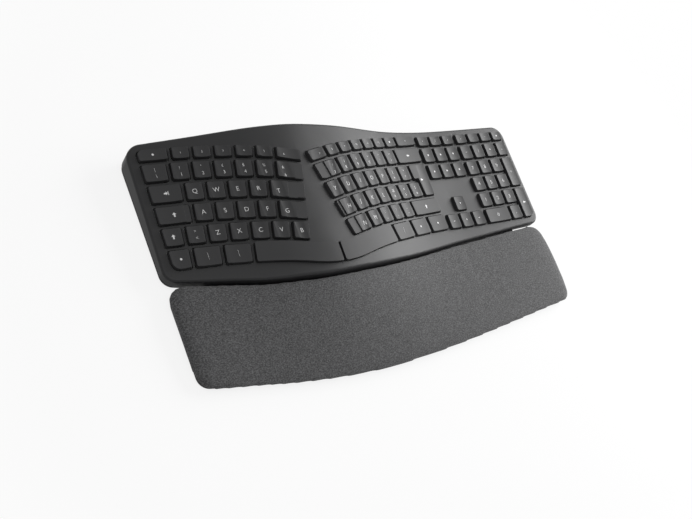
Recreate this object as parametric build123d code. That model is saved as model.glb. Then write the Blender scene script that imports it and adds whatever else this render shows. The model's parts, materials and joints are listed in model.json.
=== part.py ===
from build123d import *
from functools import lru_cache
from math import asin, cos, degrees, radians, sin, sqrt, tan
import os

# Ergonomic split keyboard with a humped key field and an integrated padded palm rest.
# Millimetres. X runs to the right, Y to the rear, Z up.
# The origin is on the table, under the middle of the outline.

# Overall plan
WIDTH = 456.0
DEPTH = 233.0
Y_FRONT = -DEPTH / 2
HALF_WIDTH = WIDTH / 2
SPLIT_share = -0.157
SPLIT_X = SPLIT_share * WIDTH

# Deck surface, the outer face of the top case
DECK_EDGE_Z = 17.2
HUMP_RISE = 23.8
DECK_TILT = 4.0
TILT_AXIS_share = 0.644
TILT_AXIS_Y = Y_FRONT + TILT_AXIS_share * DEPTH
DECK_PROFILE_shares = [
    (-0.5, 0.02), (-0.44, 0.225), (-0.35, 0.54), (-0.263, 0.855), (-0.219, 0.955),
    (-0.175, 1.0), (-0.13, 0.955), (-0.088, 0.865), (-0.044, 0.738), (0.0, 0.565),
    (0.044, 0.37), (0.088, 0.187), (0.132, 0.05), (0.18, -0.042), (0.24, -0.098),
    (0.31, -0.092), (0.4, -0.043), (0.5, 0.01),
]

# Deck outline: the rear and the sides are straight, the front bulges under the hump
DECK_FRONT_Y = Y_FRONT + 112.0
DECK_BULGE = 23.7
DECK_REAR_RADIUS = 14.0
DECK_FRONT_RADIUS = 12.0
DECK_FRONT_shares = [
    (-0.5, 0.0), (-0.44, 0.25), (-0.373, 0.52), (-0.31, 0.78), (-0.26, 0.89),
    (-0.22, 0.97), (-0.17, 1.0), (-0.12, 0.96), (-0.05, 0.89), (0.037, 0.717),
    (0.15, 0.447), (0.22, 0.304), (0.35, 0.135), (0.44, 0.03), (0.5, 0.0),
]
DECK_EDGE_ROUND = 2.8
EDGE_STEPS = 24
EDGE_PROBE = 0.5

# Case walls
SHELL = 2.2
SKIRT_Z = 7.5
PARTING_GAP = 0.2
BASE_Z = 2.0
BASE_FLOOR = 2.4
BASE_INSET = 0.8
BASE_WALL = 6.0
BASE_CHAMFER = 2.0
FLOOR_TOP = BASE_Z + BASE_FLOOR
OVERRUN = 20.0

# Key field
KEY_PITCH = 18.5
ROW_PITCH = 19.0
FUNCTION_DEPTH = 14.0
SPACE_DEPTH = 20.0
LEFT_MARGIN = 6.6
RIGHT_MARGIN = 5.4
BLOCK_GAP = 1.6
ARC_OFFSET = 193.0
ARC_CENTRE_Y = Y_FRONT - 530.0
SPACE_REAR_RADIUS = 669.0
REFERENCE_RADIUS = 707.0
LEFT_ANGLE = 5.81
RIGHT_ANGLE = -13.35
SPLIT_BLEND = 30.0
NAV_COLUMNS = 3
PAD_COLUMNS = 4
PAD_SPACE_REAR_Y = Y_FRONT + 136.7
FIELD_LEFT_X = -HALF_WIDTH + LEFT_MARGIN
PAD_X = HALF_WIDTH - RIGHT_MARGIN - PAD_COLUMNS * KEY_PITCH
NAV_X = PAD_X - BLOCK_GAP - NAV_COLUMNS * KEY_PITCH
MAIN_RIGHT_X = NAV_X - BLOCK_GAP

# Where the rows start and stop, in key pitches along the reference arc of each half
LEFT_END_share = 5.784
RIGHT_END_share = -1.0
LEFT_START_shares = {
    "function": -0.254, "number": -0.427, "upper": 0.0, "home": 0.195, "lower": -0.378,
}
RIGHT_START_shares = {
    "function": 0.211, "number": 0.535, "upper": 0.0, "home": 0.189, "lower": 0.6,
}
LEFT_SPACE_ROW_shares = [-0.238, 1.222, 2.719]
RIGHT_SPACE_ROW_shares = [2.08, 3.85, 5.44]
LEFT_STEP_shares = {"number": 5.26, "upper": 4.82, "home": 5.13}
RIGHT_STEP_shares = {"number": -0.3, "home": -0.73, "lower": -0.34}
CAPS_STEP_share = -0.16

# Key caps
KEY_RISE = 3.0
KEY_SKIRT = 0.6
KEY_WALL = 1.3
KEY_ROOF = 1.5
WEB = 1.7
KEY_CLEARANCE = 0.5
KEY_TAPER = 0.9
WELL_CORNER = 2.2
CAP_CORNER = 1.7
TOP_CORNER = 1.4
SCOOP_SAG = 0.5
SCOOP_MARGIN = 0.6
STEP_DROP = 0.9
BIG_CORNER = 9.0
FUNCTION_CORNER = 6.5
BEND_LIMIT = 165.0
TRAVEL = 1.8
BAR_LENGTH = 4.5
BAR_WIDTH = 0.7
BAR_HEIGHT = 0.3
BAR_share = 0.28
SPACE_STEPS = 12
SPACE_DOMES = 3

# Key mechanism, measured down from the deck surface
MEMBRANE_DROP = 3.4
MEMBRANE_THICK = 0.4
LAYER_GAP = 0.1
PLATE_THICK = 1.0
PLATE_INSET = 7.8
DOME_BASE_R = 2.1
DOME_TOP_R = 1.4
DOME_SHORT = 0.3
LINK_THICK = 0.5
LINK_LENGTH = 9.4
LINK_WIDTH = 10.4
LINK_RAIL = 1.1
LINK_GAP = 0.3
LINK_LIFT = 0.3
SMALL_LINK_LENGTH = 7.2

# Screws and edge bosses
BOSS_IN = 5.4
BOSS_R = 2.2
SCREW_R = 0.9
SCREW_HEAD_R = 1.8
SCREW_HEAD = 1.6
SCREW_SINK = 0.5
SCREW_LENGTH = 6.5
SCREW_CLEAR = 0.1
SIDE_BOSS_shares = [0.62, 0.9]
REAR_BOSS_shares = [-0.33, 0.02, 0.33]
FRONT_BOSS_shares = [-0.33, -0.16, 0.1, 0.33]

# Rubber feet
FOOT_R = 6.0
FOOT_SINK = 0.8
FOOT_CLEAR = 0.15
DECK_FEET_shares = [(-0.45, 0.93), (0.45, 0.93), (-0.45, 0.55), (0.45, 0.55), (0.1, 0.93), (-0.25, 0.93)]
PALM_FEET_shares = [(-0.44, 0.2), (0.44, 0.2), (-0.08, 0.12)]

# Power cells and their bay, under the hump
CELL_R = 5.25
CELL_LENGTH = 44.5
CELL_NUB_R = 1.9
CELL_NUB = 0.9
CELL_GAP = 1.0
CELL_LIFT = 0.3
CELL_share = (-0.16, 0.72)
BAY_CLEAR = 0.4
BAY_END = 3.0
BAY_WALL = 1.6
BAY_HEIGHT = 9.0
CONTACT_THICK = 0.4
CONTACT_SIZE = 7.0
CONTACT_BUMP_R = 2.0
CONTACT_TOUCH_GAP = 0.1
DOOR_THICK = 1.8
DOOR_CLEAR = 0.4
DOOR_LIP = 1.5
DOOR_LIP_THICK = 1.0
GRIP_LENGTH = 16.0
GRIP_WIDTH = 1.2
GRIP_DEPTH = 0.6
GRIP_COUNT = 4

# Power switch
SWITCH_share = (-0.02, 0.73)
SWITCH_THROW = 3.0
KNOB_LENGTH = 4.0
KNOB_WIDTH = 3.0
KNOB_CLEAR = 0.3
KNOB_OUT = 0.8
KNOB_BASE_LENGTH = 10.0
KNOB_BASE_WIDTH = 5.0
KNOB_BASE_THICK = 1.2
SWITCH_BODY_LENGTH = 18.0
SWITCH_BODY_WIDTH = 8.0
SWITCH_BODY_HEIGHT = 3.5

# Circuit board
BOARD_LENGTH = 70.0
BOARD_WIDTH = 30.0
BOARD_THICK = 1.2
BOARD_share = (-0.02, 0.84)
BOARD_LIFT = 4.0
RIB_shares = [-0.4, -0.3, 0.1, 0.2, 0.3, 0.4]
RIB_THICK = 2.0
BOARD_POST_R = 2.5
BOARD_POST_IN = 4.0
CHIP_SIDE = 9.0
CHIP_HEIGHT = 1.2
CHIP_shares = [(-0.3, 0.1), (0.05, -0.15), (0.32, 0.15)]

# Palm rest
PALM_GAP = 1.0
PALM_BULGE = 24.0
PALM_FRONT_shares = [
    (-0.5, 0.92), (-0.38, 0.545), (-0.31, 0.325), (-0.235, 0.15), (-0.15, 0.02), (-0.06, 0.0),
    (0.045, 0.08), (0.16, 0.24), (0.28, 0.45), (0.38, 0.635), (0.5, 0.845),
]
PALM_FRONT_CORNER = 14.0
PALM_REAR_CORNER = 16.0
PALM_REAR_share = 0.85
PALM_FRONT_Z = 10.0
PALM_CROWN = 1.6
PALM_SIDE_DRAW = 1.4
PALM_EDGE = 3.2
PALM_END_DROP = 2.6
PALM_STATION_shares = [
    -0.44, -0.38, -0.32, -0.26, -0.21, -0.16, -0.11, -0.05, 0.02, 0.1, 0.18, 0.27, 0.36, 0.44,
]
PALM_END_shares = [0.0, 0.08, 0.3, 0.62, 1.0]
PALM_HEM_Z = FLOOR_TOP + 0.3
PALM_FLOOR_TOP = 5.0
PALM_BASE_INSET = 3.0
TRAY_THICK = 1.2
TRAY_GAP = 0.1
FABRIC = 0.9
FOAM_GAP = 0.1
DENSE_FOAM_INSET = 7.0
DENSE_FOAM_THICK = 1.0
MEMORY_FOAM_INSET = 5.0
MEMORY_FOAM_DROP = 1.4
MEMORY_FOAM_shares = [-0.86, -0.72, -0.6, -0.48, -0.34, -0.2, -0.04, 0.12, 0.3, 0.55]
BRIDGE_shares = (-0.42, 0.42)
BRIDGE_REACH = 12.0

# Tilt legs, folded into the palm rest's floor
LEG_share = 0.3
LEG_AXIS_Y = Y_FRONT + 26.0
LEG_THICK = 2.4
LEG_TOP_GAP = 0.3
BIG_LEG_WIDTH = 66.0
BIG_LEG_LENGTH = 34.0
BIG_LEG_ARM = 9.0
SMALL_LEG_LENGTH = 20.0
LEG_GAP = 0.5
LEG_PIN_R = 0.7
LEG_BORE_CLEAR = 0.08
LEG_PIN_HOLD = 5.0
LEG_AXIS_Z = PALM_FLOOR_TOP - LEG_TOP_GAP - LEG_THICK / 2


def world_y(share):
    return Y_FRONT + share * DEPTH


def at_share(share_pair):
    return (share_pair[0] * WIDTH, world_y(share_pair[1]))


def share_at(table, value):
    """Smooth reading of a table of shares."""
    xs = [a for a, _ in table]
    value = max(xs[0], min(xs[-1], value))
    i = max(0, min(len(xs) - 2, sum(1 for a in xs if a <= value) - 1))
    slopes = []
    for k in (i, i + 1):
        a, b = max(0, k - 1), min(len(xs) - 1, k + 1)
        slopes.append((table[b][1] - table[a][1]) / (xs[b] - xs[a]))
    span = xs[i + 1] - xs[i]
    t = (value - xs[i]) / span
    rise = (3 * t**2 - 2 * t**3) * (table[i + 1][1] - table[i][1])
    lean = span * ((t**3 - 2 * t**2 + t) * slopes[0] + (t**3 - t**2) * slopes[1])
    return table[i][1] + rise + lean


# The deck profile in X and Z where the tilt axis crosses it
PROFILE_POINTS = [(x * WIDTH, DECK_EDGE_Z + z * HUMP_RISE) for x, z in DECK_PROFILE_shares]
DECK_RISE = tan(radians(DECK_TILT))
deck_curve = Spline(*[(x, 0, z) for x, z in PROFILE_POINTS])


@lru_cache(maxsize=None)
def on_profile(x):
    low, high = 0.0, 1.0
    x = max(-HALF_WIDTH, min(HALF_WIDTH, x))
    for _ in range(24):
        middle = (low + high) / 2
        if deck_curve.position_at(middle).X < x:
            low = middle
        else:
            high = middle
    return (low + high) / 2


def deck_z(x, y):
    return deck_curve.position_at(on_profile(x)).Z + (y - TILT_AXIS_Y) * DECK_RISE


def deck_along(x):
    return deck_curve.tangent_at(on_profile(x)).normalized()


def deck_normal(x):
    return deck_along(x).cross(Vector(0, 1, DECK_RISE)).normalized()


def arch_block(drop):
    """Everything below the deck surface lowered by drop."""
    spline = Spline(*[(x, 0, z - drop) for x, z in PROFILE_POINTS])
    left, right = spline.position_at(0), spline.position_at(1)
    low_left, low_right = Vector(left.X, 0, -WIDTH), Vector(right.X, 0, -WIDTH)
    face = make_face([spline, Line(right, low_right), Line(low_right, low_left), Line(low_left, left)])
    back = DEPTH + OVERRUN
    start = Location((0, -back / 2, (-back / 2 - TILT_AXIS_Y) * DECK_RISE))
    return extrude(face.moved(start), amount=back / cos(radians(DECK_TILT)), dir=(0, 1, DECK_RISE))


def layer(face, drop, thick):
    """A sheet of the given plan that follows the deck at some depth."""
    return prism(face, 0, WIDTH) & arch_block(drop) - arch_block(drop + thick)


def deck_front_y(x):
    return DECK_FRONT_Y - DECK_BULGE * share_at(DECK_FRONT_shares, x / WIDTH)


def edge_points(edge_y, inset):
    """Points of a front or rear edge moved square to itself; a negative inset moves it forwards."""
    half = HALF_WIDTH - abs(inset)
    points = []
    for i in range(EDGE_STEPS + 1):
        x = -half + 2 * half * i / EDGE_STEPS
        slope = (edge_y(x + EDGE_PROBE) - edge_y(x - EDGE_PROBE)) / (2 * EDGE_PROBE)
        points.append((x, edge_y(x) + inset * sqrt(1 + slope**2)))
    return points


def deck_outline(inset=0):
    """The deck seen from above, or the same outline moved inwards."""
    rear = Y_FRONT + DEPTH - inset
    front = edge_points(deck_front_y, inset)
    right, left = (front[-1][0], rear), (front[0][0], rear)
    face = make_face([Spline(*front), Line(front[-1], right), Line(right, left), Line(left, front[0])])
    face = fillet(face.vertices().sort_by(Axis.Y)[-2:], DECK_REAR_RADIUS - inset)
    return fillet(face.vertices().sort_by(Axis.Y)[:2], DECK_FRONT_RADIUS - inset)


def prism(face, low, high):
    return extrude(face.moved(Location((0, 0, low))), amount=high - low, dir=(0, 0, 1))


def box_between(x_span, y_span, z_span):
    size = [b - a for a, b in (x_span, y_span, z_span)]
    middle = [(a + b) / 2 for a, b in (x_span, y_span, z_span)]
    return Box(*size).moved(Location(middle))


def rod(centre, radius, low, high):
    height = high - low
    return Cylinder(radius, height).moved(Location((centre[0], centre[1], low + height / 2)))


# Flat outlines with rounded corners

def inset_polygon(points, amount):
    """Move each side of a counter-clockwise outline inwards."""
    count = len(points)
    sides = []
    for i in range(count):
        (ax, ay), (bx, by) = points[i], points[(i + 1) % count]
        length = sqrt((bx - ax)**2 + (by - ay)**2)
        dx, dy = (bx - ax) / length, (by - ay) / length
        sides.append((ax - dy * amount, ay + dx * amount, dx, dy))
    moved = []
    for i in range(count):
        ax, ay, adx, ady = sides[i - 1]
        bx, by, bdx, bdy = sides[i]
        cross = adx * bdy - ady * bdx
        if abs(cross) < 1e-4:
            moved.append((bx, by))
        else:
            t = ((bx - ax) * bdy - (by - ay) * bdx) / cross
            moved.append((ax + adx * t, ay + ady * t))
    return moved


def rounded_face(points, radii):
    """A flat face with each corner rounded by its own radius; zero keeps it sharp."""
    count = len(points)
    starts, ends, middles = [], [], []
    for i in range(count):
        here = Vector(*points[i])
        back = (Vector(*points[i - 1]) - here).normalized()
        ahead = (Vector(*points[(i + 1) % count]) - here).normalized()
        if radii[i] == 0:
            starts.append(here)
            ends.append(here)
            middles.append(None)
            continue
        half = back.get_angle(ahead) / 2
        reach = radii[i] / tan(radians(half))
        middle_way = (back + ahead).normalized()
        starts.append(here + back * reach)
        ends.append(here + ahead * reach)
        middles.append(here + middle_way * (radii[i] / sin(radians(half)) - radii[i]))
    edges = []
    for i in range(count):
        if middles[i] is not None:
            edges.append(ThreePointArc(starts[i], middles[i], ends[i]))
        edges.append(Line(ends[i], starts[(i + 1) % count]))
    return make_face(edges)


def corner_radii(points, radius, big=None):
    """One radius for each real corner, none for the joints of a bent side."""
    radii = []
    for i in range(len(points)):
        here = Vector(*points[i])
        turn = (Vector(*points[i - 1]) - here).get_angle(Vector(*points[(i + 1) % len(points)]) - here)
        radii.append(0 if turn > BEND_LIMIT else radius)
    if big is not None:
        radii[big[0]] = big[1]
    return radii


# Places on the key rows: two sets of concentric arcs, mirrored about the split

ROW_NAMES = ["space", "lower", "home", "upper", "number", "function"]
ROW_FRONT = {"space": SPACE_REAR_RADIUS - SPACE_DEPTH}
for row_number, row_name in enumerate(ROW_NAMES[1:]):
    ROW_FRONT[row_name] = SPACE_REAR_RADIUS + row_number * ROW_PITCH
ROW_REAR = {name: ROW_FRONT[name] + ROW_PITCH for name in ROW_NAMES[1:-1]}
ROW_REAR["space"] = SPACE_REAR_RADIUS
ROW_REAR["function"] = ROW_FRONT["function"] + FUNCTION_DEPTH
ARC_CENTRE_X = {"left": SPLIT_X - ARC_OFFSET, "right": SPLIT_X + ARC_OFFSET}
START_ANGLE = {"left": radians(LEFT_ANGLE), "right": radians(RIGHT_ANGLE)}


def arc_point(side, radius, angle):
    return (ARC_CENTRE_X[side] + radius * sin(angle), ARC_CENTRE_Y + radius * cos(angle))


def angle_at(side, share):
    return START_ANGLE[side] + share * KEY_PITCH / REFERENCE_RADIUS


def angle_at_x(side, radius, x):
    return asin((x - ARC_CENTRE_X[side]) / radius)


def unit_angles(side, row, start_share, count):
    """Side lines of a run of unit keys that keep their pitch along the curved deck."""
    radius = (ROW_FRONT[row] + ROW_REAR[row]) / 2
    angles = [angle_at(side, start_share)]
    for _ in range(count):
        x, _ = arc_point(side, radius, angles[-1] + KEY_PITCH / radius / 2)
        angles.append(angles[-1] + KEY_PITCH * deck_along(x).X / radius)
    return angles


def arc_cell(side, row, first, last):
    """The four corners of a cell between two side lines; a side line is an angle or ("x", value)."""
    corners = []
    for radius, line in (("front", first), ("front", last), ("rear", last), ("rear", first)):
        r = ROW_FRONT[row] if radius == "front" else ROW_REAR[row]
        angle = angle_at_x(side, r, line[1]) if isinstance(line, tuple) else line
        corners.append(arc_point(side, r, angle))
    return corners


def straight_cell(x0, x1, y0, y1):
    return [(x0, y0), (x1, y0), (x1, y1), (x0, y1)]


def space_edge_y(x, radius):
    """The arcs of the two halves, blended into one curve at the split."""
    away = abs(x - SPLIT_X)
    if away >= SPLIT_BLEND:
        return ARC_CENTRE_Y + sqrt(radius**2 - (ARC_OFFSET - away)**2)
    run = ARC_OFFSET - SPLIT_BLEND
    edge = sqrt(radius**2 - run**2)
    return ARC_CENTRE_Y + edge - run / edge * (SPLIT_BLEND**2 - away**2) / (2 * SPLIT_BLEND)


def space_cell(side, end_angle):
    """A half of the space bar, between its end line and the split."""
    front_end = arc_point(side, ROW_FRONT["space"], end_angle)
    rear_end = arc_point(side, ROW_REAR["space"], end_angle)
    front, rear = [], []
    for i in range(SPACE_STEPS + 1):
        t = i / SPACE_STEPS
        fx = front_end[0] + (SPLIT_X - front_end[0]) * t
        rx = rear_end[0] + (SPLIT_X - rear_end[0]) * t
        front.append((fx, space_edge_y(fx, ROW_FRONT["space"])))
        rear.append((rx, space_edge_y(rx, ROW_REAR["space"])))
    points = front + rear[::-1]
    return points if side == "left" else points[::-1]


# The table of keys: node, outline in plan, and what is special about it

keys = []


def add_key(node, cell, **extra):
    keys.append(dict(node=node, cell=cell, **extra))


def add_run(node, side, row, angles, bars=()):
    for i in range(len(angles) - 1):
        add_key(node, arc_cell(side, row, angles[i], angles[i + 1]), bar=i in bars)


def step_line(side, row, angle):
    return (arc_point(side, ROW_FRONT[row], angle), arc_point(side, ROW_REAR[row], angle))


LEFT_EDGE = ("x", FIELD_LEFT_X)
RIGHT_EDGE = ("x", MAIN_RIGHT_X)
LEFT_END = angle_at("left", LEFT_END_share)
RIGHT_END = angle_at("right", RIGHT_END_share)

# Left half: an end key, a run of unit keys and a last key that reaches the split line
LEFT_END_KEYS = {
    "function": "key_escape", "number": "keys_number_left", "upper": "key_tab",
    "home": "key_caps_lock", "lower": "key_shift_left",
}
LEFT_RUNS = {
    "function": ("keys_function_left", 5), "number": ("keys_number_left", 5),
    "upper": ("keys_letters_upper_left", 4), "home": ("keys_letters_home_left", 4),
    "lower": ("keys_letters_lower_left", 5),
}
for row_name, (run_node, run_count) in LEFT_RUNS.items():
    start = LEFT_START_shares[row_name]
    angles = unit_angles("left", row_name, start, run_count)
    extra = {}
    if row_name == "home":
        extra = dict(step=step_line("left", row_name, angle_at("left", CAPS_STEP_share)), step_side=1)
    if row_name == "function":
        extra = dict(big=(3, FUNCTION_CORNER))
    add_key(LEFT_END_KEYS[row_name], arc_cell("left", row_name, LEFT_EDGE, angles[0]), **extra)
    bars = {"home": (3,), "number": (4,)}.get(row_name, ())
    add_run(run_node, "left", row_name, angles, bars)
    extra = {}
    if row_name in LEFT_STEP_shares:
        line_angle = angle_at("left", LEFT_STEP_shares[row_name])
        extra = dict(step=step_line("left", row_name, line_angle), step_side=1)
    add_key(run_node, arc_cell("left", row_name, angles[-1], LEFT_END), **extra)

# Right half
RIGHT_RUNS = {
    "function": ("keys_function_right", 6, "keys_function_right"),
    "number": ("keys_number_right", 5, "key_backspace"),
    "upper": ("keys_letters_upper_right", 6, None),
    "home": ("keys_letters_home_right", 6, None),
    "lower": ("keys_letters_lower_right", 4, "key_shift_right"),
}
run_ends = {}
for row_name, (run_node, run_count, end_node) in RIGHT_RUNS.items():
    angles = unit_angles("right", row_name, RIGHT_START_shares[row_name], run_count)
    run_ends[row_name] = angles[-1]
    extra = {}
    if row_name in RIGHT_STEP_shares:
        line_angle = angle_at("right", RIGHT_STEP_shares[row_name])
        extra = dict(step=step_line("right", row_name, line_angle), step_side=-1)
    add_key(run_node, arc_cell("right", row_name, RIGHT_END, angles[0]), **extra)
    add_run(run_node, "right", row_name, angles, (0,) if row_name == "home" else ())
    if end_node:
        add_key(end_node, arc_cell("right", row_name, angles[-1], RIGHT_EDGE))

# The enter key spans two rows
upper_part = arc_cell("right", "upper", run_ends["upper"], RIGHT_EDGE)
lower_part = arc_cell("right", "home", run_ends["home"], RIGHT_EDGE)
notch = arc_point("right", ROW_FRONT["upper"], run_ends["home"])
ENTER_CELL = [lower_part[0], lower_part[1], upper_part[2], upper_part[3], upper_part[0], notch]
ENTER_MIDDLE = ((notch[0] + MAIN_RIGHT_X) / 2, notch[1])
add_key("key_enter", ENTER_CELL, middle=ENTER_MIDDLE)

# The row of the space bar
left_lines = [angle_at("left", share) for share in LEFT_SPACE_ROW_shares]
right_lines = [angle_at("right", share) for share in RIGHT_SPACE_ROW_shares]
add_key("key_control_left", arc_cell("left", "space", LEFT_EDGE, left_lines[0]), big=(0, BIG_CORNER))
add_run("keys_option_command_left", "left", "space", left_lines)
add_key("key_space_left", space_cell("left", left_lines[-1]), curved=True)
add_key("key_space_right", space_cell("right", right_lines[0]), curved=True)
add_run("keys_modifiers_right", "right", "space", right_lines)
add_key("key_control_right", arc_cell("right", "space", right_lines[-1], RIGHT_EDGE))

# The straight blocks, rows counted from the front
ROW_Y = [PAD_SPACE_REAR_Y + (i - 1) * ROW_PITCH for i in range(len(ROW_NAMES))]


def pad_cell(first_x, column, row, wide=1, deep=1):
    y1 = ROW_Y[row] + (FUNCTION_DEPTH if row == len(ROW_NAMES) - 1 else deep * ROW_PITCH)
    return straight_cell(first_x + column * KEY_PITCH, first_x + (column + wide) * KEY_PITCH, ROW_Y[row], y1)


for column in range(NAV_COLUMNS):
    add_key("keys_media_row", pad_cell(NAV_X, column, 5))
    add_key("keys_navigation", pad_cell(NAV_X, column, 4))
    add_key("keys_navigation", pad_cell(NAV_X, column, 3))
for column, name in enumerate(("left", "down", "right")):
    add_key("key_arrow_" + name, pad_cell(NAV_X, column, 0))
add_key("key_arrow_up", pad_cell(NAV_X, 1, 1))
for column in range(PAD_COLUMNS):
    last = column == PAD_COLUMNS - 1
    add_key("keys_media_row", pad_cell(PAD_X, column, 5), **(dict(big=(2, FUNCTION_CORNER)) if last else {}))
    add_key("keys_numpad_top", pad_cell(PAD_X, column, 4))
for column in range(PAD_COLUMNS - 1):
    add_key("keys_numpad_789", pad_cell(PAD_X, column, 3))
    add_key("keys_numpad_456", pad_cell(PAD_X, column, 2), bar=column == 1)
    add_key("keys_numpad_123", pad_cell(PAD_X, column, 1))
add_key("key_numpad_plus", pad_cell(PAD_X, PAD_COLUMNS - 1, 2, deep=2))
add_key("key_numpad_enter", pad_cell(PAD_X, PAD_COLUMNS - 1, 0, deep=2), big=(1, BIG_CORNER))
add_key("key_numpad_zero", pad_cell(PAD_X, 0, 0, wide=2))
add_key("key_numpad_decimal", pad_cell(PAD_X, 2, 0))


# Key caps and their wells

def key_frame(cell):
    """The tangent plane of the deck under the middle of a key."""
    xs, ys = [p[0] for p in cell], [p[1] for p in cell]
    x, y = (min(xs) + max(xs)) / 2, (min(ys) + max(ys)) / 2
    return Plane(origin=(x, y, deck_z(x, y)), x_dir=deck_along(x), z_dir=deck_normal(x))


def flatten(points, frame):
    """Plan points dropped straight down on the frame's plane, in its own coordinates."""
    flat = []
    for x, y in points:
        n, o = frame.z_dir, frame.origin
        z = o.Z - (n.X * (x - o.X) + n.Y * (y - o.Y)) / n.Z
        arm = Vector(x, y, z) - o
        flat.append((arm.dot(frame.x_dir), arm.dot(frame.y_dir)))
    return flat


def key_outline(points, inset, radius, big):
    shape = inset_polygon(points, inset)
    if big is not None:
        big = (big[0], big[1] - inset)
    return rounded_face(shape, corner_radii(shape, radius, big))


def cap_body(key):
    frame = key_frame(key["cell"])
    local = flatten(key["cell"], frame)
    big = key.get("big")
    side = WEB / 2 + KEY_CLEARANCE
    lower = key_outline(local, side, CAP_CORNER, big).moved(Location((0, 0, -KEY_SKIRT)))
    upper = key_outline(local, side + KEY_TAPER, TOP_CORNER, big).moved(Location((0, 0, KEY_RISE)))
    cap = loft([lower, upper], ruled=True)
    inside = key_outline(local, side + KEY_WALL, KEY_WALL, big)
    cap -= prism(inside, -KEY_SKIRT, KEY_RISE - KEY_ROOF)
    top = inset_polygon(local, side + KEY_TAPER)
    x0, x1 = max(top[0][0], top[-1][0]), min(top[1][0], top[2][0])
    if key.get("step"):
        line = flatten(key["step"], frame)
        out = key["step_side"] * OVERRUN
        points = [line[0], (line[0][0] + out, line[0][1]), (line[1][0] + out, line[1][1]), line[1]]
        if out < 0:
            points = points[::-1]
        cap -= prism(rounded_face(points, [0] * len(points)), KEY_RISE - STEP_DROP, KEY_RISE + OVERRUN)
        x0, x1 = (x0, min(p[0] for p in line)) if out > 0 else (max(p[0] for p in line), x1)
    width = x1 - x0 - 2 * SCOOP_MARGIN
    radius = width**2 / (8 * SCOOP_SAG) + SCOOP_SAG / 2
    scoop = Cylinder(radius, DEPTH, rotation=(90, 0, 0))
    scoop = scoop.moved(Location(((x0 + x1) / 2, 0, KEY_RISE - SCOOP_SAG + radius)))
    cap -= scoop
    if key.get("bar"):
        y = -BAR_share * ROW_PITCH
        z = KEY_RISE - SCOOP_SAG + BAR_HEIGHT / 2 - LAYER_GAP
        cap += Box(BAR_LENGTH, BAR_WIDTH, BAR_HEIGHT).moved(Location(((x0 + x1) / 2, y, z)))
    return cap.moved(Location(frame))


def curved_cap(key):
    side = WEB / 2 + KEY_CLEARANCE
    cell = key["cell"]
    body = prism(key_outline(cell, side, CAP_CORNER, None), 0, WIDTH)
    body = body & arch_block(-KEY_RISE) - arch_block(KEY_SKIRT)
    body = body - (prism(key_outline(cell, side + KEY_WALL, KEY_WALL, None), 0, WIDTH)
                   & arch_block(KEY_ROOF - KEY_RISE))
    return body


def key_well(key):
    cell = key["cell"]
    if key.get("curved"):
        return prism(key_outline(cell, WEB / 2, WELL_CORNER, None), 0, WIDTH)
    frame = key_frame(cell)
    face = key_outline(flatten(cell, frame), WEB / 2, WELL_CORNER, key.get("big"))
    return prism(face, -SHELL - KEY_SKIRT, KEY_RISE).moved(Location(frame))


def mechanism_places(key):
    """Middle points for the domes: one, or several in a row under a long key."""
    if key.get("curved"):
        xs = [p[0] for p in key["cell"]]
        low, high = min(xs), max(xs)
        places = []
        for i in range(SPACE_DOMES):
            x = low + (high - low) * (i + 1 / 2) / SPACE_DOMES
            y = (space_edge_y(x, ROW_FRONT["space"]) + space_edge_y(x, ROW_REAR["space"])) / 2
            places.append(Plane(origin=(x, y, deck_z(x, y)), x_dir=deck_along(x), z_dir=deck_normal(x)))
        return places
    if key.get("middle"):
        x, y = key["middle"]
        return [Plane(origin=(x, y, deck_z(x, y)), x_dir=deck_along(x), z_dir=deck_normal(x))]
    return [key_frame(key["cell"])]


def is_shallow(key):
    (x0, y0), (x1, y1) = key["cell"][1], key["cell"][2]
    return not key.get("curved") and sqrt((x1 - x0)**2 + (y1 - y0)**2) < (FUNCTION_DEPTH + ROW_PITCH) / 2


DOME_HEIGHT = MEMBRANE_DROP + KEY_RISE - KEY_ROOF - LAYER_GAP - DOME_SHORT


def dome(frame):
    body = Cone(DOME_BASE_R, DOME_TOP_R, DOME_HEIGHT)
    low = -MEMBRANE_DROP + LAYER_GAP
    return body.moved(Location((0, 0, low + DOME_HEIGHT / 2))).moved(Location(frame))


def link_pair(frame, length):
    """Two crossed rings, one inside the other, standing on the membrane."""
    low = -MEMBRANE_DROP + LINK_LIFT
    high = KEY_RISE - KEY_ROOF - LINK_LIFT
    lean = degrees(asin((high - low - LINK_THICK) / length))
    inner_width = LINK_WIDTH - 2 * LINK_RAIL - 2 * LINK_GAP
    pieces = []
    for width, way in ((LINK_WIDTH, 1), (inner_width, -1)):
        ring = Box(width, length, LINK_THICK) - Box(width - 2 * LINK_RAIL, length - 2 * LINK_RAIL, OVERRUN)
        pieces.append(ring.rotate(Axis.X, way * lean).moved(Location((0, 0, (low + high) / 2))))
    return [piece.moved(Location(frame)) for piece in pieces]


# Top case

OUTLINE = deck_outline()
INNER_OUTLINE = deck_outline(SHELL)


def boss_places():
    """Screw places along the rim, clear of the keys."""
    places = []
    for share in SIDE_BOSS_shares:
        for way in (-1, 1):
            places.append((way * (HALF_WIDTH - BOSS_IN), world_y(share)))
    for share in REAR_BOSS_shares:
        places.append((share * WIDTH, Y_FRONT + DEPTH - BOSS_IN))
    for share in FRONT_BOSS_shares:
        x = share * WIDTH
        places.append((x, deck_front_y(x) + BOSS_IN))
    return places


BOSSES = boss_places()
SCREW_HEAD_Z = BASE_Z + SCREW_SINK + SCREW_HEAD
SCREW_TIP_Z = SCREW_HEAD_Z + SCREW_LENGTH


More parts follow.
